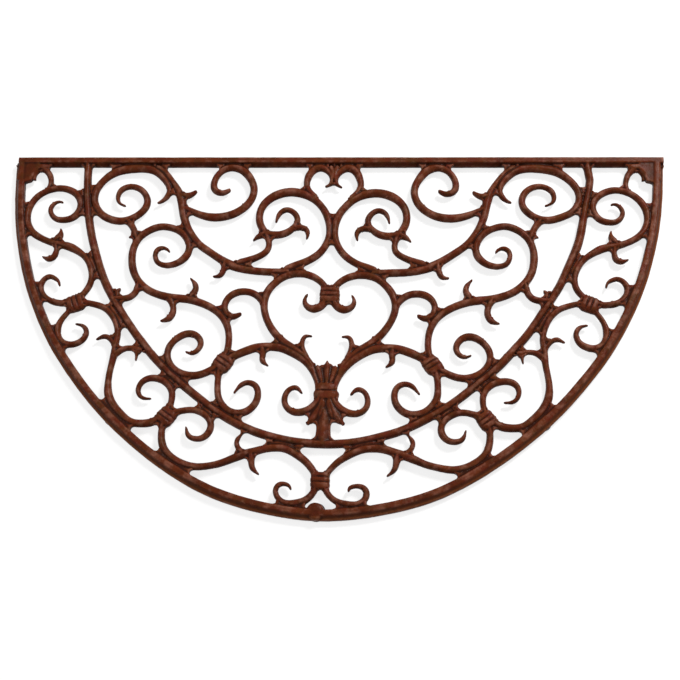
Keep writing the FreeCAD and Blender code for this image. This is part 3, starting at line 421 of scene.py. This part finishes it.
# Where the cast scrollwork strays from its mirrored plan: place, reach and shift in mm
STRAYS = [
    (-345, 142, 45, -0.2, 1.1), (-264, 61, 16, -0.2, -1.3), (-237, -56, 16, 1.9, -3.1),
    (-237, -47, 16, 0.9, -1.6), (-183, 187, 16, -1.7, -0.9), (-165, 43, 16, -0.9, 1.5),
    (-138, 151, 26, 1.2, 0.5), (-111, -83, 26, -0.7, -0.5), (-102, -146, 26, 0.7, -0.9),
    (-75, 52, 26, -1.2, 0.0), (-30, -47, 16, 2.9, 1.1), (-12, 151, 16, 0.0, 1.4),
    (-3, -119, 26, 1.1, 0.3), (-3, 142, 16, -0.2, 3.2), (24, -20, 26, -2.5, -0.5),
    (24, 196, 16, -0.7, -1.6), (33, -173, 16, -4.3, -1.4), (33, -155, 16, -2.8, -0.5),
    (33, 97, 16, 0.5, -1.5), (42, -83, 16, 0.6, -1.5), (60, -128, 16, 2.3, 1.3),
    (60, 61, 45, 0.4, -1.8), (69, 79, 16, -1.1, 1.5), (78, 34, 16, 1.2, -0.8),
    (87, 187, 45, 0.2, -1.3), (123, -164, 16, -1.7, 1.3), (132, -83, 16, 1.3, 0.7),
    (132, -83, 26, 2.8, 0.3), (132, 151, 16, -1.9, 0.3), (141, -20, 16, -0.6, -2.5),
    (168, 43, 16, 0.8, 1.6), (177, 187, 16, 0.9, -1.3), (204, -56, 16, 2.8, 0.4),
    (213, 52, 16, 0.2, 1.4), (213, 124, 26, -1.1, 2.0), (222, -2, 16, -0.3, -1.9),
    (222, 178, 16, -1.1, 1.3), (240, -47, 16, -3.4, -2.5), (267, 61, 16, -0.2, -2.5),
    (267, 133, 16, 1.2, 4.2), (285, 16, 26, -0.1, 3.6), (285, 106, 16, 2.1, -0.1),
    (285, 196, 16, 1.1, -1.2), (294, 196, 26, 2.1, -1.7), (312, 61, 16, -2.4, 1.1),
    (339, 151, 16, -1.5, -1.4),
]

# Middles of the bosses, over the pads
BOSS_CENTRES = []
for pad in ("pad_front", "pad_side_left", "pad_side_right", "pad_corner_left", "pad_corner_right"):
    pad_low, pad_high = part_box(pad)
    BOSS_CENTRES.append(((pad_low.x + pad_high.x) / 2 / MM, (pad_low.y + pad_high.y) / 2 / MM))


def smooth_line(knots, step):
    """Evenly spaced points of a natural spline through the knots, and their shares of its length."""
    knots = np.array(knots, float)
    marks = np.append(0, np.cumsum(np.sqrt(np.linalg.norm(np.diff(knots, axis=0), axis=1))))
    gaps = np.diff(marks)[:, None]
    count = len(knots)
    matrix = np.eye(count)
    right = np.zeros((count, 2))
    for k in range(1, count - 1):
        matrix[k, k - 1:k + 2] = gaps[k - 1, 0], 2 * (gaps[k - 1, 0] + gaps[k, 0]), gaps[k, 0]
        right[k] = 6 * ((knots[k + 1] - knots[k]) / gaps[k] - (knots[k] - knots[k - 1]) / gaps[k - 1])
    bend = np.linalg.solve(matrix, right)
    fine = np.linspace(0, marks[-1], 40 * count)
    k = np.clip(np.searchsorted(marks, fine) - 1, 0, count - 2)
    a = (marks[k + 1] - fine)[:, None] / gaps[k]
    b = 1 - a
    spots = (a * knots[k] + b * knots[k + 1]
             + ((a ** 3 - a) * bend[k] + (b ** 3 - b) * bend[k + 1]) * gaps[k] ** 2 / 6)
    runs = np.append(0, np.cumsum(np.linalg.norm(np.diff(spots, axis=0), axis=1)))
    even = np.linspace(0, runs[-1], max(3, math.ceil(runs[-1] / step)) + 1)
    line = np.stack([np.interp(even, runs, spots[:, axis]) for axis in (0, 1)], axis=1)
    return line, even / runs[-1], runs[-1]


def place(point, side=-1):
    """Where a point of the share tables lies, in millimetres, on the left (-1) or the right (1)."""
    return (side * point[0] * HALF_WIDTH, BACK_EDGE - point[1] * RIM_DEPTH)


class Casting:
    """Gathers closed forms, in millimetres, that the remesh then runs together."""

    def __init__(self):
        self.lines = []
        self.points = []
        self.faces = []
        self.count = 0

    def loft(self, rings):
        """A closed form through rings of equal length, capped at both ends."""
        rings = np.array(rings)
        number, size = rings.shape[:2]
        first = self.count
        self.points.append(rings.reshape(-1, 3))
        self.count += number * size
        for j in range(number - 1):
            low = first + j * size
            for k in range(size):
                after = (k + 1) % size
                self.faces.append((low + k, low + after, low + size + after, low + size + k))
        last = first + (number - 1) * size
        self.faces.append(tuple(first + k for k in reversed(range(size))))
        self.faces.append(tuple(last + k for k in range(size)))

    def sweep(self, line, widths, bases, heights, shares):
        """An outline carried along a line. Widths, bases and heights are given at each point."""
        ahead = np.gradient(line, axis=0)
        ahead /= np.linalg.norm(ahead, axis=1)[:, None]
        across = np.stack([-ahead[:, 1], ahead[:, 0]], axis=1)
        self.note_plan(line, across, widths)
        shares = np.array(shares)
        flat = line[:, None, :] + across[:, None, :] * (shares[:, 0] * widths[:, None] / 2)[:, :, None]
        level = bases[:, None] + heights[:, None] * shares[:, 1]
        self.loft(np.concatenate([flat, level[:, :, None]], axis=2))

    def note_plan(self, line, across, widths):
        """Notes the ground that a member covers, as rows of discs along its line."""
        radii = widths / 2
        rows = [0]
        if widths.max() > ONE_ROW_WIDTH:
            radii = np.full(len(line), ROW_RADIUS)
            rows = ROW_SHARES
        for share in rows:
            aside = across * (share * (widths / 2 - radii))[:, None]
            self.lines.append(np.column_stack([line + aside, radii]))


def bar(casting, points, width_shares, side=-1, top=CREST_LEVEL, section=ROUND_BACK_SHARES):
    """A tapering bar, flat below, with its ends rounded off."""
    line, along, length = smooth_line([place(p, side) for p in points], BAR_STEP)
    shares = np.interp(along, np.linspace(0, 1, len(width_shares)), width_shares)
    widths = np.maximum(shares, TIP_SHARE) * BAR_WIDTH
    heights = BAR_HEIGHT * (1 + np.minimum(1, shares)) / 2
    for end, share in ((along * length, width_shares[0]), ((1 - along) * length, width_shares[-1])):
        reach = max(share, TIP_SHARE) * BAR_WIDTH / 2
        left = np.clip(1 - end / reach, 0, 0.93)
        widths = widths * np.sqrt(1 - left ** 2)
    casting.sweep(line, widths, np.full(len(line), top - BAR_HEIGHT), heights, section)


def whole_line(shares, out, forward):
    """The rim's or arc's middle line, from inside the rail round the front and back to it."""
    left = [(-side * out, BACK_EDGE - ahead * forward) for side, ahead in shares]
    knots = [(-x, y) for x, y in left[:0:-1]] + left
    line = smooth_line(knots, BAR_STEP)[0]
    return line[line[:, 1] < BACK_EDGE - RAIL_WIDTH * 0.4]


def framing(casting, line, width, base, height, shares):
    """A member with the same section all along its line."""
    full = np.ones(len(line))
    casting.sweep(line, full * width, full * base, full * height, shares)


def sleeve(casting, middle, length, width, top, grooves, side=-1, narrowed=1.0):
    """A barrel-like collar over the bars that it binds, with shallow grooves round it.

    Beyond its first groove it takes the narrowed share of its width.
    """
    angle = math.radians(middle[2])
    along = np.array([-side * math.cos(angle), math.sin(angle)])
    runs = np.linspace(-0.5, 0.5, 33)
    dips = sum(np.exp(-((runs - groove) / GROOVE_REACH) ** 2) for groove in grooves)
    eased = (2 * runs) ** 4
    wide = (1 - 0.2 * eased - 0.05 * dips) * np.where(runs > grooves[0], narrowed, 1.0)
    high = 1 - 0.10 * eased - 0.17 * dips
    line = np.array(place(middle, side)) + np.outer(runs * length, along)
    casting.sweep(line, wide * width, np.full(len(runs), top - COLLAR_HEIGHT), high * COLLAR_HEIGHT,
                  SLEEVE_SHARES)


def plate(casting, points, base, top, side=-1):
    """A flat-topped filling with this outline."""
    flat = np.array([place(point, side) for point in points])
    casting.loft([np.column_stack([flat, np.full(len(flat), level)]) for level in (base, top)])


def round_boss(casting, centre, radius, base, top):
    """A round boss with an eased edge and a slightly crowned top."""
    turns = np.linspace(0, 2 * math.pi, 40, endpoint=False)
    ring = np.stack([np.cos(turns), np.sin(turns)], axis=1)
    rings = []
    for out, level in ((0.97, base), (1.0, base + 0.8), (1.0, top - 4.4), (0.95, top - 2.7),
                       (0.82, top - 1.3), (0.6, top - 0.45), (0.2, top)):
        flat = np.array(centre) + ring * out * radius
        rings.append(np.column_stack([flat, np.full(len(flat), level)]))
    casting.loft(rings)


def closed_up(shape, reach):
    """The plan with every gap too narrow for a disc of this reach, in cells, filled."""
    across = np.minimum(np.arange(shape.shape[0]), shape.shape[0] - np.arange(shape.shape[0]))
    along = np.minimum(np.arange(shape.shape[1]), shape.shape[1] - np.arange(shape.shape[1]))
    disc = np.fft.rfft2(across[:, None] ** 2 + along[None, :] ** 2 <= reach ** 2)
    grown = np.fft.irfft2(np.fft.rfft2(shape) * disc, shape.shape) > 0.5
    return np.fft.irfft2(np.fft.rfft2(~grown) * disc, shape.shape) < 0.5


def plan_of(lines):
    """The members' plan as a grid of cells, from discs along their lines."""
    columns = int(2 * (HALF_WIDTH + 12) / CELL)
    rows = int(2 * (BACK_EDGE + 12) / CELL)
    plan = np.zeros((columns, rows), bool)
    for x, y, radius in np.concatenate(lines):
        column = x / CELL + columns / 2
        row = y / CELL + rows / 2
        reach = radius / CELL
        left = int(column - reach)
        low = int(row - reach)
        i, j = np.ogrid[left:left + int(2 * reach) + 2, low:low + int(2 * reach) + 2]
        spot = plan[left:left + i.shape[0], low:low + j.shape[1]]
        spot |= (i + 0.5 - column) ** 2 + (j + 0.5 - row) ** 2 <= reach ** 2
    return plan


def add_webs(casting):
    """Fillets in the corners between members: flat cells, which the remesh smooths."""
    plan = plan_of(casting.lines)
    web = closed_up(plan, FILLET / CELL) & ~plan
    i, j = np.nonzero(web)
    columns, rows = plan.shape

    def corners(i, j, level):
        spots = [((i + a - columns / 2) * CELL, (j + b - rows / 2) * CELL)
                 for a, b in ((0, 0), (1, 0), (1, 1), (0, 1))]
        return np.array([(x, y, np.full(len(i), level)) for x, y in spots]).transpose(2, 0, 1)

    quads = [corners(i, j, WEB_TOP), corners(i, j, WEB_BASE)[:, ::-1]]
    top = corners(i, j, WEB_TOP)
    base = corners(i, j, WEB_BASE)
    for k, (a, b) in enumerate(((0, -1), (1, 0), (0, 1), (-1, 0))):
        open_side = ~web[i + a, j + b]
        after = (k + 1) % 4
        quads.append(np.stack([base[open_side, k], base[open_side, after],
                               top[open_side, after], top[open_side, k]], axis=1))
    quads = np.concatenate(quads)
    casting.points.append(quads.reshape(-1, 3))
    casting.faces += (casting.count + np.arange(len(quads) * 4).reshape(-1, 4)).tolist()
    casting.count += len(quads) * 4


def cast_all():
    """Every iron member, as overlapping closed forms."""
    casting = Casting()
    rail = np.array([(x, BACK_EDGE - RAIL_WIDTH / 2) for x in np.linspace(RAIL_LEFT, RAIL_RIGHT, 260)])
    framing(casting, rail, RAIL_WIDTH, PAD_HEIGHT, FRAME_HEIGHT, RAIL_SECTION_SHARES)
    rim = whole_line(RIM_SHARES, RIM_REACH - RIM_WIDTH / 2, RIM_FORWARD - RIM_WIDTH / 2)
    framing(casting, rim, RIM_WIDTH, PAD_HEIGHT, FRAME_HEIGHT, RIM_SECTION_SHARES)
    arc = whole_line(ARC_SHARES, HALF_WIDTH, RIM_DEPTH)
    framing(casting, arc, ARC_WIDTH, CREST_LEVEL - ARC_HEIGHT, ARC_HEIGHT, ROUND_BACK_SHARES)
    front, *others = BOSS_CENTRES
    front = (front[0], front[1] - FRONT_BOSS_FORWARD)
    round_boss(casting, front, FRONT_BOSS_RADIUS, PAD_HEIGHT, FRAME_TOP)
    for centre in others:
        round_boss(casting, centre, BOSS_RADIUS, PAD_HEIGHT, LOW_BOSS_TOP)
    for side in (-1, 1):
        for strokes in SCROLL_SHARES.values():
            for points, widths in strokes:
                bar(casting, points, widths, side)
        for points, widths in BLADE_SHARES:
            bar(casting, points, widths, side, BLADE_TOP, RIDGE_SHARES)
        for points, widths in LEAF_SHARES:
            bar(casting, points, widths, side, CREST_LEVEL, RIDGE_SHARES)
        for points, widths in SHEAF_CURL_SHARES:
            bar(casting, points, widths, side)
        for middle in COLLAR_SHARES.values():
            sleeve(casting, middle, COLLAR_LENGTH, COLLAR_WIDTH, COLLAR_TOP, (-0.15, 0.17), side)
        plate(casting, CORNER_PLATE_SHARES, WEB_BASE, PLATE_TOP, side)
    for middle in MIDDLE_COLLAR_SHARES.values():
        sleeve(casting, middle, COLLAR_LENGTH, MIDDLE_COLLAR_WIDTH, COLLAR_TOP, (0.22, -0.1))
    sleeve(casting, BAND_MIDDLE_SHARES, BAND_LENGTH, BAND_WIDTH, COLLAR_TOP, (0.03,), -1,
           BAND_NARROWED)
    plate(casting, SHEAF_CORE_SHARES, WEB_BASE, CORE_TOP)
    bar(casting, *MIDDLE_BLADE_SHARES, -1, COLLAR_TOP, RIDGE_SHARES)
    bar(casting, *STEM_SHARES, -1, CREST_LEVEL, RIDGE_SHARES)
    add_webs(casting)
    return casting


def mesh_object(name, points, faces):
    """A new object in the scene with these points, in metres, and faces."""
    mesh = bpy.data.meshes.new(name)
    mesh.from_pydata([tuple(p) for p in points], [], faces)
    mesh.update()
    made = bpy.data.objects.new(name, mesh)
    bpy.context.collection.objects.link(made)
    return made


def settled(piece, *modifiers):
    """The piece's mesh with its modifiers applied."""
    for kind, values in modifiers:
        modifier = piece.modifiers.new(kind, kind)
        for key, value in values.items():
            setattr(modifier, key, value)
    bpy.context.view_layer.update()
    graph = bpy.context.evaluated_depsgraph_get()
    mesh = bpy.data.meshes.new_from_object(piece.evaluated_get(graph))
    bpy.data.objects.remove(piece)
    return mesh


def coordinates(mesh):
    """The mesh's points as rows of x, y and z."""
    found = np.empty(len(mesh.vertices) * 3)
    mesh.vertices.foreach_get("co", found)
    return found.reshape(-1, 3)


def ripple(points, size, seed):
    """Smooth unevenness between -1 and 1, with bumps of about the given size."""
    chance = np.random.default_rng(seed)
    total = np.zeros(len(points))
    for _ in range(14):
        direction = chance.normal(size=3)
        direction /= np.linalg.norm(direction)
        pitch = 2 * math.pi / (size * chance.uniform(0.7, 1.5))
        total += np.sin(points @ direction * pitch + chance.uniform(0, 2 * math.pi))
    return total / 5


def averaged(values, edges, degree, times):
    """Values spread over the surface: each vertex takes its neighbours' mean, several times."""
    for _ in range(times):
        total = np.zeros_like(values)
        np.add.at(total, edges[:, 0], values[edges[:, 1]])
        np.add.at(total, edges[:, 1], values[edges[:, 0]])
        values = (values + total) / (1 + degree)[:, None]
    return values


def outer_skin(count, edges):
    """Which vertices belong to the largest connected surface, and not to a closed cavity in it."""
    label = np.arange(count)
    while True:
        lowest = label[edges].min(axis=1)
        after = label.copy()
        for end in (0, 1):
            np.minimum.at(after, label[edges[:, end]], lowest)
        after = after[after]
        if np.array_equal(after, label):
            return label == np.bincount(label).argmax()
        label = after


def cast_surface():
    """The casting as one surface, with its relief (+1 on ridges, -1 in hollows), lip and skin."""
    casting = cast_all()
    rough = mesh_object("rough", np.concatenate(casting.points) * MM, casting.faces)
    mesh = settled(rough, ("REMESH", {"mode": "VOXEL", "voxel_size": VOXEL * MM}),
                   ("SMOOTH", {"factor": 0.5, "iterations": 2}))
    points = coordinates(mesh)
    edges = np.empty(len(mesh.edges) * 2, int)
    mesh.edges.foreach_get("vertices", edges)
    edges = edges.reshape(-1, 2)
    degree = np.bincount(edges.ravel(), minlength=len(points)).astype(float)
    normals = np.empty(len(points) * 3)
    mesh.vertices.foreach_get("normal", normals)
    normals = normals.reshape(-1, 3)
    points = points + normals * (ripple(points, 0.021, 3) * 0.00010
                                 + ripple(points, 0.006, 4) * 0.00005)[:, None]
    front = points[:, 0] ** 2 + (points[:, 1] - CROSSING_AHEAD * MM) ** 2
    points[:, 0] += CROSSING_SHIFT * MM * np.exp(-front / (2 * (CROSSING_REACH * MM) ** 2))
    points[:, :2] += strayed(points / MM) * MM
    points = np.clip(points, CAD_LOW, CAD_HIGH)
    near = averaged(points, edges, degree, 3)
    wide = averaged(near, edges, degree, 9)
    relief = np.einsum("ij,ij->i", near - wide, normals) / (FULL_RELIEF * MM)
    mesh.vertices.foreach_set("co", points.ravel())
    mesh.update()
    skin = outer_skin(len(points), edges)
    return mesh, points, np.clip(relief, -1, 1), lip_share(points / MM), skin


def beyond_rim(points):
    """How far outside the rim's middle line each point lies, in millimetres."""
    rim = whole_line(RIM_SHARES, RIM_REACH - RIM_WIDTH / 2, RIM_FORWARD - RIM_WIDTH / 2)
    turns = np.arctan2(rim[:, 0], BACK_EDGE - rim[:, 1])
    order = np.argsort(turns)
    reach = np.hypot(rim[:, 0], BACK_EDGE - rim[:, 1])[order]
    turn = np.arctan2(points[:, 0], BACK_EDGE - points[:, 1])
    return np.hypot(points[:, 0], BACK_EDGE - points[:, 1]) - np.interp(turn, turns[order], reach)


def lip_share(points):
    """1 on the rim's low outer lip and 0 elsewhere."""
    share = np.clip((beyond_rim(points) / (RIM_WIDTH / 2) - 0.35) / 0.2, 0, 1)
    return share * (points[:, 1] < BACK_EDGE - RAIL_WIDTH)


def strayed(points):
    """The scrollwork's own shifts in plan. They fade out towards the rim and the rail."""
    shift = np.zeros((len(points), 2))
    for x, y, reach, aside, ahead in STRAYS:
        share = np.exp(-((points[:, 0] - x) ** 2 + (points[:, 1] - y) ** 2) / (2 * reach ** 2))
        shift += share[:, None] * (aside, ahead)
    clear = np.minimum(-beyond_rim(points) - RIM_WIDTH / 2, BACK_EDGE - RAIL_WIDTH - points[:, 1])
    return shift * np.clip(clear / FADE, 0, 1)[:, None]


def nearest_nodes(points, names):
    """For each point, the number of the CAD node whose surface is nearest."""
    corners = []
    triangles = []
    owners = []
    for number, name in enumerate(names):
        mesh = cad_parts[name].data
        mesh.calc_loop_triangles()
        first = len(corners)
        corners += [vertex.co.copy() for vertex in mesh.vertices]
        for triangle in mesh.loop_triangles:
            triangles.append(tuple(first + k for k in triangle.vertices))
            owners.append(number)
    tree = BVHTree.FromPolygons(corners, triangles)
    return np.array([owners[tree.find_nearest(Vector(point))[2]] for point in points])


def cast_pieces():
    """The casting's surface, shared out between its members."""
    mesh, points, relief, lip, skin = cast_surface()
    names = [name for name in sorted(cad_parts) if not name.startswith("pad_")]
    loops = np.empty(len(mesh.loops), int)
    mesh.loops.foreach_get("vertex_index", loops)
    starts = np.empty(len(mesh.polygons), int)
    mesh.polygons.foreach_get("loop_start", starts)
    corners = loops[starts[:, None] + np.arange(4)]
    corners = corners[skin[corners[:, 0]]]
    owners = nearest_nodes(points[corners].mean(axis=1), names)
    normals = np.empty(len(points) * 3)
    mesh.vertices.foreach_get("normal", normals)
    normals = normals.reshape(-1, 3)
    made = []
    for number, name in enumerate(names):
        own = corners[owners == number]
        used, local = np.unique(own, return_inverse=True)
        piece = mesh_object(name + "_cast", points[used], local.reshape(-1, 4).tolist())
        data = piece.data
        data.shade_smooth()
        data.normals_split_custom_set_from_vertices([tuple(n) for n in normals[used]])
        for label, values in (("relief", relief), ("lip", lip)):
            layer = data.attributes.new(label, "FLOAT", "POINT")
            layer.data.foreach_set("value", values[used].astype(np.float32))
        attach(piece, "root")
        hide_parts(name)
        made.append(piece)
    return made


def node(tree, kind, **values):
    """A new shader node. Values go to its inputs of that name, or else to its own settings."""
    made = tree.nodes.new(kind)
    for key, value in values.items():
        if key in made.inputs:
            made.inputs[key].default_value = value
        else:
            setattr(made, key, value)
    return made


def noise(tree, where, scale, detail=4, rough=0.55):
    """Noise from 0 to 1, with the given number of blotches to the metre."""
    made = node(tree, "ShaderNodeTexNoise")
    made.inputs["Scale"].default_value = scale
    made.inputs["Detail"].default_value = detail
    made.inputs["Roughness"].default_value = rough
    tree.links.new(where, made.inputs["Vector"])
    return made.outputs["Fac"]


def ramp(tree, value, *stops):
    """A value turned into colours or greys by stops of position and colour."""
    made = node(tree, "ShaderNodeValToRGB")
    elements = made.color_ramp.elements
    while len(elements) < len(stops):
        elements.new(0.5)
    for element, (position, colour) in zip(elements, stops):
        element.position = position
        element.color = (*colour, 1) if len(colour) == 3 else (colour[0],) * 3 + (1,)
    tree.links.new(value, made.inputs["Fac"])
    return made.outputs["Color"]


def mixed(tree, share, first, second):
    """Two colours mixed by a share, each of them fixed or from another node."""
    made = node(tree, "ShaderNodeMix", data_type="RGBA")
    for key, value in (("Factor", share), ("A", first), ("B", second)):
        sockets = [s for s in made.inputs if s.name == key and s.enabled]
        socket = sockets[-1] if key != "Factor" else sockets[0]
        if isinstance(value, tuple):
            socket.default_value = (*value, 1)
        elif isinstance(value, (int, float)):
            socket.default_value = value
        else:
            tree.links.new(value, socket)
    return [s for s in made.outputs if s.enabled][0]


def maths(tree, operation, first, second):
    """One step of arithmetic on two numbers, each of them fixed or from another node."""
    made = node(tree, "ShaderNodeMath", operation=operation)
    for k, value in enumerate((first, second)):
        if isinstance(value, (int, float)):
            made.inputs[k].default_value = value
        else:
            tree.links.new(value, made.inputs[k])
    return made.outputs[0]


def new_material(name):
    made = bpy.data.materials.new(name)
    made.use_nodes = True
    tree = made.node_tree
    return made, tree, tree.nodes["Principled BSDF"]


def coat_colours(tree, where, blotch, outer):
    """The coating: blotches of brown with olive and red tints, and painted bounce light on the rim's
    outer lip.
    """
    coat = ramp(tree, blotch, (0.3, DARK_COAT), (0.5, COAT), (0.72, WARM_COAT))
    olive = ramp(tree, noise(tree, where, 110, 4), (0.5, (0.0,)), (0.68, (0.7,)))
    coat = mixed(tree, olive, coat, OLIVE_COAT)
    red = ramp(tree, noise(tree, where, 85, 4), (0.5, (0.0,)), (0.66, (0.7,)))
    coat = mixed(tree, red, coat, RED_COAT)
    # Painted bounce light makes the rim's outer lip lighter
    return mixed(tree, maths(tree, "MULTIPLY", outer, 0.75), coat, LIP_PAINTED_LIGHT_COAT)


def iron_material():
    """Satin rust-brown coating over cast iron: grain, painted shade in creases and on low walls, painted
    bounce light on the rim's lip, and ridges lighter in patches from wear and painted highlight.
    """
    made, tree, shader = new_material("cast_iron")
    where = node(tree, "ShaderNodeTexCoord").outputs["Object"]
    relief = node(tree, "ShaderNodeAttribute", attribute_name="relief").outputs["Fac"]
    outer = node(tree, "ShaderNodeAttribute", attribute_name="lip").outputs["Fac"]
    blotch = noise(tree, where, 60, 5, 0.6)
    grain = noise(tree, where, 900, 6, 0.7)
    coat = coat_colours(tree, where, blotch, outer)
    coat = mixed(tree, ramp(tree, grain, (0.35, (0.22,)), (0.65, (0.0,))), coat, DARK_COAT)

    # Painted shade: walls are darker towards the floor, apart from the lip's
    place_of = node(tree, "ShaderNodeSeparateXYZ")
    tree.links.new(where, place_of.inputs[0])
    level = maths(tree, "MULTIPLY", place_of.outputs["Z"], 1 / (FRAME_TOP * MM))
    low = ramp(tree, level, (0.35, (0.75,)), (0.72, (0.0,)))
    low = maths(tree, "MULTIPLY", low, maths(tree, "SUBTRACT", 1.0, outer))
    coat = mixed(tree, low, coat, PAINTED_SHADE_COAT)

    # Painted shade darkens the creases, and ridges are lighter in patches, partly from wear and partly
    # as a painted highlight
    bend = maths(tree, "ADD", maths(tree, "MULTIPLY", relief, 0.5), 0.5)
    crease_shade = ramp(tree, bend, (0.1, (0.85,)), (0.5, (0.28,)), (0.7, (0.0,)))
    coat = mixed(tree, crease_shade, coat, PAINTED_SHADE_COAT)
    exposed = ramp(tree, relief, (0.25, (0.0,)), (1.0, (1.0,)))
    patch = ramp(tree, noise(tree, where, 95, 5, 0.6), (0.47, (0.0,)), (0.70, (1.0,)))
    # Wear and painted highlight on exposed ridges, in patches
    worn_and_highlight = maths(tree, "MULTIPLY", maths(tree, "MULTIPLY", exposed, patch), 0.45)
    tree.links.new(mixed(tree, worn_and_highlight, coat, WORN_AND_HIGHLIGHT_COAT), shader.inputs["Base Color"])

    tree.links.new(ramp(tree, blotch, (0.3, (0.40,)), (0.7, (0.27,))), shader.inputs["Roughness"])
    shader.inputs["Specular IOR Level"].default_value = 0.06
    uneven = maths(tree, "ADD", maths(tree, "MULTIPLY", grain, 0.3), noise(tree, where, 240, 4))
    bump = node(tree, "ShaderNodeBump", Strength=0.6, Distance=0.0005)
    tree.links.new(uneven, bump.inputs["Height"])
    tree.links.new(bump.outputs["Normal"], shader.inputs["Normal"])
    return made


def rubber_material():
    """Matt black rubber, a little dusty."""
    made, tree, shader = new_material("rubber")
    where = node(tree, "ShaderNodeTexCoord").outputs["Object"]
    dust = noise(tree, where, 400, 5, 0.6)
    tree.links.new(ramp(tree, dust, (0.35, (0.012, 0.011, 0.010)), (0.75, (0.045, 0.040, 0.036))),
                   shader.inputs["Base Color"])
    tree.links.new(ramp(tree, dust, (0.3, (0.7,)), (0.7, (0.9,))), shader.inputs["Roughness"])
    bump = node(tree, "ShaderNodeBump", Strength=0.4, Distance=0.0003)
    tree.links.new(noise(tree, where, 1500, 3), bump.inputs["Height"])
    tree.links.new(bump.outputs["Normal"], shader.inputs["Normal"])
    return made


def rubber_foot(name):
    """A round pad with eased edges and a shallow tread ring, where its plain disc was."""
    low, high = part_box(name)
    middle = (low + high) / 2
    radius = (high.x - low.x) / 2 * FOOT_SPREAD
    tall = high.z - low.z
    profile = [(0.0, 0.12), (0.42, 0.12), (0.5, 0.0), (0.88, 0.0), (0.97, 0.1), (1.0, 0.28),
               (0.99, 0.85), (0.95, 1.0), (0.0, 1.0)]
    turns = 48
    points = []
    faces = []
    for out, level in profile:
        for k in range(turns):
            angle = 2 * math.pi * k / turns
            points.append((middle.x + math.cos(angle) * max(out, 0.001) * radius,
                           middle.y + math.sin(angle) * max(out, 0.001) * radius,
                           low.z + level * tall))
    for j in range(len(profile) - 1):
        for k in range(turns):
            after = (k + 1) % turns
            faces.append((j * turns + k, j * turns + after, (j + 1) * turns + after,
                          (j + 1) * turns + k))
    faces.append(tuple(reversed(range(turns))))
    faces.append(tuple((len(profile) - 1) * turns + k for k in range(turns)))
    foot = mesh_object(name + "_rubber", points, faces)
    foot.data.shade_smooth()
    foot.data.set_sharp_from_angle(angle=math.radians(50))
    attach(foot, "root")
    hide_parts(name)
    return foot


def seen_directly(tree):
    """1 where a ray from the camera, or one mirrored or let through, arrives; otherwise 0."""
    path = node(tree, "ShaderNodeLightPath")
    mirrored = maths(tree, "MAXIMUM", path.outputs["Is Glossy Ray"], path.outputs["Is Transmission Ray"])
    return maths(tree, "MAXIMUM", path.outputs["Is Camera Ray"], mirrored)


def floor_material():
    """Pale floor that keeps the mat's shadow and looks white to the camera."""
    made, tree, shader = new_material("floor")
    shader.inputs["Base Color"].default_value = (0.32, 0.32, 0.32, 1)
    shader.inputs["Roughness"].default_value = 0.9
    shader.inputs["Specular IOR Level"].default_value = 0.1
    shader.inputs["Emission Color"].default_value = (1, 1, 1, 1)
    tree.links.new(maths(tree, "MULTIPLY", seen_directly(tree), 0.76),
                   shader.inputs["Emission Strength"])
    return made


def area_light(name, power, size, spot, colour=(1, 1, 1)):
    """A round lamp that looks at the mat's middle."""
    lamp = bpy.data.lights.new(name, "AREA")
    lamp.energy = power
    lamp.shape = "DISK"
    lamp.size = size
    lamp.color = colour
    made = bpy.data.objects.new(name, lamp)
    made.location = spot
    made.rotation_mode = "QUATERNION"
    made.rotation_quaternion = Vector(spot).to_track_quat("Z", "Y")
    bpy.context.collection.objects.link(made)
    return made


def studio():
    """Pale floor, three soft lamps and an even backdrop."""
    floor = mesh_object("floor", [(-4, -4, 0), (4, -4, 0), (4, 4, 0), (-4, 4, 0)], [(0, 1, 2, 3)])
    floor.data.materials.append(floor_material())
    area_light("key", 58, 0.7, (1.1, 1.3, 1.7), (1.0, 0.97, 0.95))
    area_light("fill", 11, 1.6, (-1.6, -0.3, 1.6))
    area_light("front", 4, 1.6, (0.5, -1.8, 1.4))
    world = bpy.data.worlds.new("studio")
    world.use_nodes = True
    backdrop = world.node_tree.nodes["Background"]
    backdrop.inputs["Color"].default_value = (1, 1, 1, 1)
    shown = maths(world.node_tree, "MULTIPLY", seen_directly(world.node_tree), 0.76)
    world.node_tree.links.new(maths(world.node_tree, "ADD", shown, 0.24), backdrop.inputs["Strength"])
    bpy.context.scene.world = world


def photo_camera():
    """Camera where the photograph's stood."""
    data = bpy.data.cameras.new("camera")
    data.lens = 36 * CAMERA_FOCUS / PHOTO_SIZE
    data.sensor_width = 36
    data.clip_start = 0.01
    data.clip_end = 50
    made = bpy.data.objects.new("camera", data)
    made.location = CAMERA_PLACE
    made.rotation_mode = "QUATERNION"
    made.rotation_quaternion = CAMERA_TURN
    bpy.context.collection.objects.link(made)
    bpy.context.scene.camera = made


iron = iron_material()
rubber = rubber_material()
for piece in cast_pieces():
    piece.data.materials.append(iron)
for name in sorted(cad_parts):
    if name.startswith("pad_"):
        rubber_foot(name).data.materials.append(rubber)
studio()
photo_camera()
bpy.context.scene.view_settings.view_transform = "Standard"
